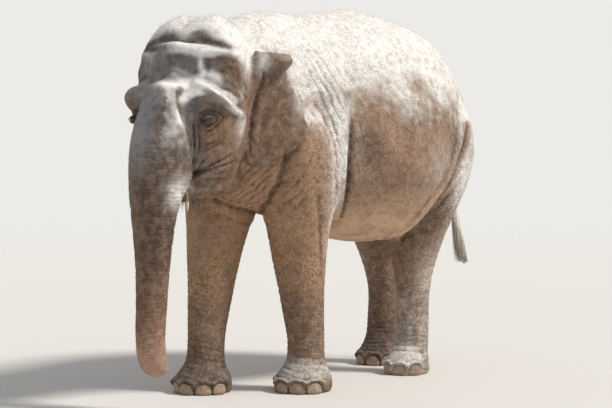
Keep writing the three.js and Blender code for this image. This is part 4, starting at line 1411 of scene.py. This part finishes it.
# %% Bristles over the hide
hair, tree, hair_shader = new_material("dusty_bristle", 0.5, 0.4, 1.55)
shade = add_node(tree, "ShaderNodeAttribute", attribute_name="shade").outputs["Fac"]
ends = {0: shade, 6: linear("#34281f"), 7: linear("#d6cdc0")}  # clean, dusty
hair_base = add_node(tree, "ShaderNodeMix", ends, data_type="RGBA")
tree.links.new(hair_base.outputs[2], hair_shader.inputs["Base Color"])

crown = on_face * ease(400, 540, hz + 40 * speck)
back_line = on_body * ease(0.45, 0.9, up_facing) * ease(480, 200, np.abs(bx)) * ease(1000, 700, by)
chin = on_face * mound(head_twin, (40, -330, -420), (120, 150, 70)) * (1 - masks["trunk"])
thin = 1
BRISTLES = [  # how many, shortest and longest, breadth, lean back, droop, where
    (900, 18, 42, 0.5, 0.5, 0.15, crown),
    (1700, 12, 30, 0.6, 0.7, 0.15, back_line),
    (320, 8, 18, 0.7, 0, 0.2, on_face * ease(-200, -300, hy)),
    (240, 25, 60, 0.9, -0.2, 0.5, chin),
    (700, 7, 16, 0.7, -0.2, 0.5, masks["trunk"]),
    (300, 12, 28, 0.7, 0.3, 0.5, masks["ear"]),
    (1100, 7, 18, 0.7, 0.2, 0.4, on_body * (1 - masks["foot"])),
]
groups = []
for count, low, high, breadth, back_by, droop, where in BRISTLES:
    spots, lean, root_uv, root = rooted(int(count * thin), np.clip(where, 0, 1))
    lean = lean + np.array(BACK) * back_by + 0.28 * chance.normal(size=lean.shape)
    lengths = chance.uniform(low, high, len(spots))
    groups.append((planted(spots, lean, lengths, breadth, droop), root_uv, root))
coat("bristles", groups)

# %% [markdown]
# ## Lashes and the tail's brush
# Long lashes hang over the eye from the edge of the upper lid. The tail ends in stiff wiry hairs that
# hang down from its last part and are cut off at one height, so its end looks blunt.

# %% Lashes and brush
LASHES = 34  # on each eye, in pairs
point_uv = np.zeros((len(points), 2))
point_uv[thirds.ravel()] = uv.reshape(-1, 2)
groups = []
for side, (forward, rise, out) in EYE_AXES.items():
    a = np.repeat(np.linspace(-22, 22, LASHES // 2), 2) + chance.normal(0, 0.6, LASHES)
    b = ALMOND[1] * (1 - (a / ALMOND[0]) ** 2) + 0.8
    c = np.sqrt((BALL + LID) ** 2 - a**2 - b**2)
    spots = EYES[side] + (a[:, None] * forward + b[:, None] * rise + c[:, None] * out) * MM
    lean = out - 0.25 * rise + (a / 70)[:, None] * forward + 0.06 * chance.normal(size=spots.shape)
    root = nearest_of(points, spots)
    groups.append((planted(spots, lean, chance.uniform(14, 27, LASHES), 0.5, 0.4), point_uv[root], root))
coat("eyelashes", groups, -0.5)

BRUSH_END = 652  # mm above the floor
tail_end = masks["tail"] * ease(960, 840, bz)
spots, lean, root_uv, root = rooted(int(700 * thin), tail_end)
lean = 0.07 * lean * (1, 1, 0) - np.array(UP) + (0.17, 0, 0) + 0.03 * chance.normal(size=lean.shape)
room = np.maximum(spots[:, 2] / MM - BRUSH_END, 12)
lengths = np.minimum(chance.uniform(110, 260, len(spots)), room)
# the brush is wholly pale: dusty hair, and painted light on the lit tail
coat("tail_brush", [(planted(spots, lean, lengths, 2.1, 0.05), root_uv, root)], 1.0)

# %% [markdown]
# ## Toenails
# A nail is a curved plate of horn, smooth and tan, with faint growth lines level with the ground and
# dirt at its base. A ball is pressed flat and square-shouldered, bent round the foot, and cut level at
# the bottom where walking wears it.

# %% Toenails
WORN = 4.5 * MM  # the nail's lower edge stands this far off the ground
NAIL_BEND = 330  # millimetres; a greater number makes a flatter plate
SUNK = 6  # millimetres of the plate that lie in its bed


def toenail(name):
    """A plate of horn bent round the foot at the place of one nail."""
    spot, aside, out = nail_axes(name)
    half_wide, half_tall = nail_size(name)
    work = bmesh.new()
    bmesh.ops.create_uvsphere(work, u_segments=40, v_segments=24, radius=1)
    for vert in work.verts:
        a, b, c = vert.co
        a = math.copysign(abs(a) ** 0.8, a)
        b = math.copysign(abs(b) ** (0.62 if b < 0 else 1.0), b)
        wide = half_wide * (1 - 0.1 * max(b, -0.4))
        away = 2 + 8 * math.copysign(abs(c) ** 0.6, c) - (a * wide) ** 2 / NAIL_BEND
        away += 0.25 * math.sin(b * 26) * (c > 0)  # growth lines
        grown = aside * (a * wide) + UP * (b * half_tall) + out * (away - SUNK)
        vert.co = Vector(spot + grown * MM)
    whole = work.verts[:] + work.edges[:] + work.faces[:]
    cut = bmesh.ops.bisect_plane(
        work, geom=whole, plane_co=(0, 0, WORN), plane_no=(0, 0, -1), clear_outer=True
    )
    bmesh.ops.holes_fill(work, edges=[e for e in cut["geom_cut"] if isinstance(e, bmesh.types.BMEdge)])
    bmesh.ops.recalc_face_normals(work, faces=work.faces)
    return finished(work, name + "_plate")


horn, tree, horn_shader = new_material("worn_toenail_horn", 0.55, 0.4, 1.55)
place = add_node(tree, "ShaderNodeTexCoord").outputs["Object"]
long_way = add_node(tree, "ShaderNodeMapping", {"Vector": place, "Scale": (1, 1, 5)})
growth = add_node(tree, "ShaderNodeTexNoise", {"Vector": long_way, "Scale": 34, "Detail": 4})
scuffs = add_node(tree, "ShaderNodeTexNoise", {"Vector": place, "Scale": 50, "Detail": 4})
rise = add_node(tree, "ShaderNodeSeparateXYZ", {0: place}).outputs["Z"]
colour = linear("#84705f")
for pattern, start, end, low, high, code in (
    (growth, 0.3, 0.7, 0, 1, "#a58d7a"),  # growth lines
    (scuffs, 0.45, 0.7, 0, 0.5, "#c9b5a2"),  # pale where it is worn
    (rise, 4 * MM, 22 * MM, 0.6, 0, "#6e5a4b"),  # dirt by the ground
):
    span = {"Value": pattern, "From Min": start, "From Max": end, "To Min": low, "To Max": high}
    layer = {0: add_node(tree, "ShaderNodeMapRange", span), 6: colour, 7: linear(code)}
    colour = add_node(tree, "ShaderNodeMix", layer, data_type="RGBA").outputs[2]
tree.links.new(colour, horn_shader.inputs["Base Color"])
nail_bump = add_node(tree, "ShaderNodeBump", {"Height": growth, "Strength": 0.6, "Distance": 1.2 * MM})
tree.links.new(nail_bump.outputs["Normal"], horn_shader.inputs["Normal"])
for name in NAILS:
    nail = toenail(name)
    nail.data.materials.append(horn)
    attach(nail, "root")
    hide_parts(name)
print("toenails", len(NAILS))

# %% [markdown]
# ## Tushes
# Most Asian cows have no tusks, only tushes: small ivory points that barely leave the lip. The solids
# already have their place and lean, so a cone follows the solid's own line, with a rounded tip.

# %% Tushes
TUSH_RADIUS = 13.5 * MM


def tush(side):
    """A rounded cone along the line of the solid."""
    low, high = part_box("tush_" + side)
    corners = np.array([v.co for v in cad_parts["tush_" + side].data.vertices])
    top = corners[corners[:, 2] > high.z - 12 * MM].mean(0)
    tip = corners[corners[:, 2] < low.z + 6 * MM].mean(0)
    axis = Vector(tip - top)
    work = bmesh.new()
    bmesh.ops.create_uvsphere(work, u_segments=24, v_segments=20, radius=1)
    turn = Vector((0, 0, -1)).rotation_difference(axis)
    for vert in work.verts:
        down = (1 - vert.co.z) / 2
        around = Vector((vert.co.x, vert.co.y, 0)) * TUSH_RADIUS * (1.15 - 0.6 * down)
        vert.co = Vector(top) + turn @ (around + Vector((0, 0, -axis.length * down)))
    made = finished(work, "tush_ivory_" + side)
    level = points_of(made.data)[:, 2]
    store(made.data, "out_of_lip", (level.max() - level) / np.ptp(level))
    return made


ivory, tree, ivory_shader = new_material("stained_ivory", 0.35, 0.5, 1.54)
place = add_node(tree, "ShaderNodeTexCoord").outputs["Object"]
grain = add_node(tree, "ShaderNodeMapping", {"Vector": place, "Scale": (1, 1, 0.2)})
stain = add_node(tree, "ShaderNodeTexNoise", {"Vector": grain, "Scale": 125, "Detail": 4})
stained = add_node(tree, "ShaderNodeMapRange", {"Value": stain, "From Min": 0.35, "From Max": 0.75})
ends = {0: stained, 6: linear("#e3d5bd"), 7: linear("#b9946c")}
bare_ivory = add_node(tree, "ShaderNodeMix", ends, data_type="RGBA")
bared = add_node(tree, "ShaderNodeAttribute", attribute_name="out_of_lip").outputs["Fac"]
bared = add_node(tree, "ShaderNodeMapRange", {"Value": bared, "From Min": 0.45, "From Max": 0.6})
ends = {0: bared, 6: linear("#80604c"), 7: bare_ivory.outputs[2]}  # gum, then ivory
ivory_base = add_node(tree, "ShaderNodeMix", ends, data_type="RGBA")
tree.links.new(ivory_base.outputs[2], ivory_shader.inputs["Base Color"])
ivory_bump = add_node(tree, "ShaderNodeBump", {"Height": stain, "Strength": 0.4, "Distance": 0.5 * MM})
tree.links.new(ivory_bump.outputs["Normal"], ivory_shader.inputs["Normal"])
for side in EYES:
    made = tush(side)
    made.data.materials.append(ivory)
    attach(made, "root")
    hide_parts("tush_" + side)
    print("tush", side, [round(v, 3) for v in made.dimensions])

# %% [markdown]
# ## Studio
# A museum cast would stand on a pale sweep under soft light. The floor fades out into the pale world,
# so that no edge shows, and it keeps the animal's shadow. A large soft sun stands high on her left and
# a little behind her, and the world fills the rest.

# %% Floor, world, lamps and camera
floor_work = bmesh.new()
bmesh.ops.create_circle(floor_work, cap_ends=True, segments=96, radius=30)
floor_mesh = bpy.data.meshes.new("floor")
floor_work.to_mesh(floor_mesh)
floor = thing("floor", floor_mesh)
pale, tree, pale_shader = new_material("pale_studio_floor", 0.9, 0.2)
BACKDROP = linear("#ecebe8")
pale_shader.inputs["Base Color"].default_value = linear("#dddbd7")
place = add_node(tree, "ShaderNodeTexCoord").outputs["Object"]
far = add_node(tree, "ShaderNodeVectorMath", {0: place}, operation="LENGTH").outputs["Value"]
clear = add_node(tree, "ShaderNodeBsdfTransparent")
gone = add_node(tree, "ShaderNodeMapRange", {"Value": far, "From Min": 5, "From Max": 22},
                interpolation_type="SMOOTHSTEP")
fade = add_node(tree, "ShaderNodeMixShader", {0: gone, 1: pale_shader.outputs[0], 2: clear})
tree.links.new(fade.outputs[0], tree.nodes["Material Output"].inputs["Surface"])
floor_mesh.materials.append(pale)

world = bpy.data.worlds.new("studio")
bpy.context.scene.world = world
world.use_nodes = True
tree = world.node_tree
light_path = add_node(tree, "ShaderNodeLightPath")
seen = light_path.outputs["Is Camera Ray"]
for ray in ("Is Glossy Ray", "Is Transmission Ray"):
    seen = add_node(tree, "ShaderNodeMath", {0: seen, 1: light_path.outputs[ray]}, operation="MAXIMUM")
fill = add_node(tree, "ShaderNodeBackground", {"Color": linear("#eef0f4"), "Strength": 0.5})
back = add_node(tree, "ShaderNodeBackground", {"Color": BACKDROP, "Strength": 1.0})
sky = add_node(tree, "ShaderNodeMixShader", {0: seen, 1: fill.outputs[0], 2: back.outputs[0]})
tree.links.new(sky.outputs[0], tree.nodes["World Output"].inputs["Surface"])

VIEW_TURN, VIEW_DOWN = 40.43, 2.61  # degrees round from straight ahead, and down
CAMERA_AT = (7.1496, -8.3311, 1.578)
LENS = 108.2  # mm, on a sensor 36 mm wide
LIGHT_AIM = Vector((0, 0, 1.1))


def placed(name, data, at, turn):
    """An object that isn't a mesh, at a place and turned."""
    made = thing(name, data)
    made.location = at
    made.rotation_euler = turn
    return made


camera_data = bpy.data.cameras.new("camera")
camera_data.lens = LENS
camera_data.sensor_width = 36
camera_data.clip_end = 200
view = (math.radians(90 - VIEW_DOWN), 0, math.radians(VIEW_TURN))
camera = placed("camera", camera_data, CAMERA_AT, view)
bpy.context.scene.camera = camera

sun = bpy.data.lights.new("soft_sun", "SUN")
sun.energy = 3.0
sun.angle = math.radians(12)
sun.color = linear("#fffaf3")[:3]
SUN_AT = Vector((6.5, 3.0, 9.5))
placed("soft_sun", sun, SUN_AT, (LIGHT_AIM - SUN_AT).to_track_quat("-Z", "Y").to_euler())
bpy.context.scene.view_settings.view_transform = "Standard"
print("camera", [round(v, 2) for v in camera.location])
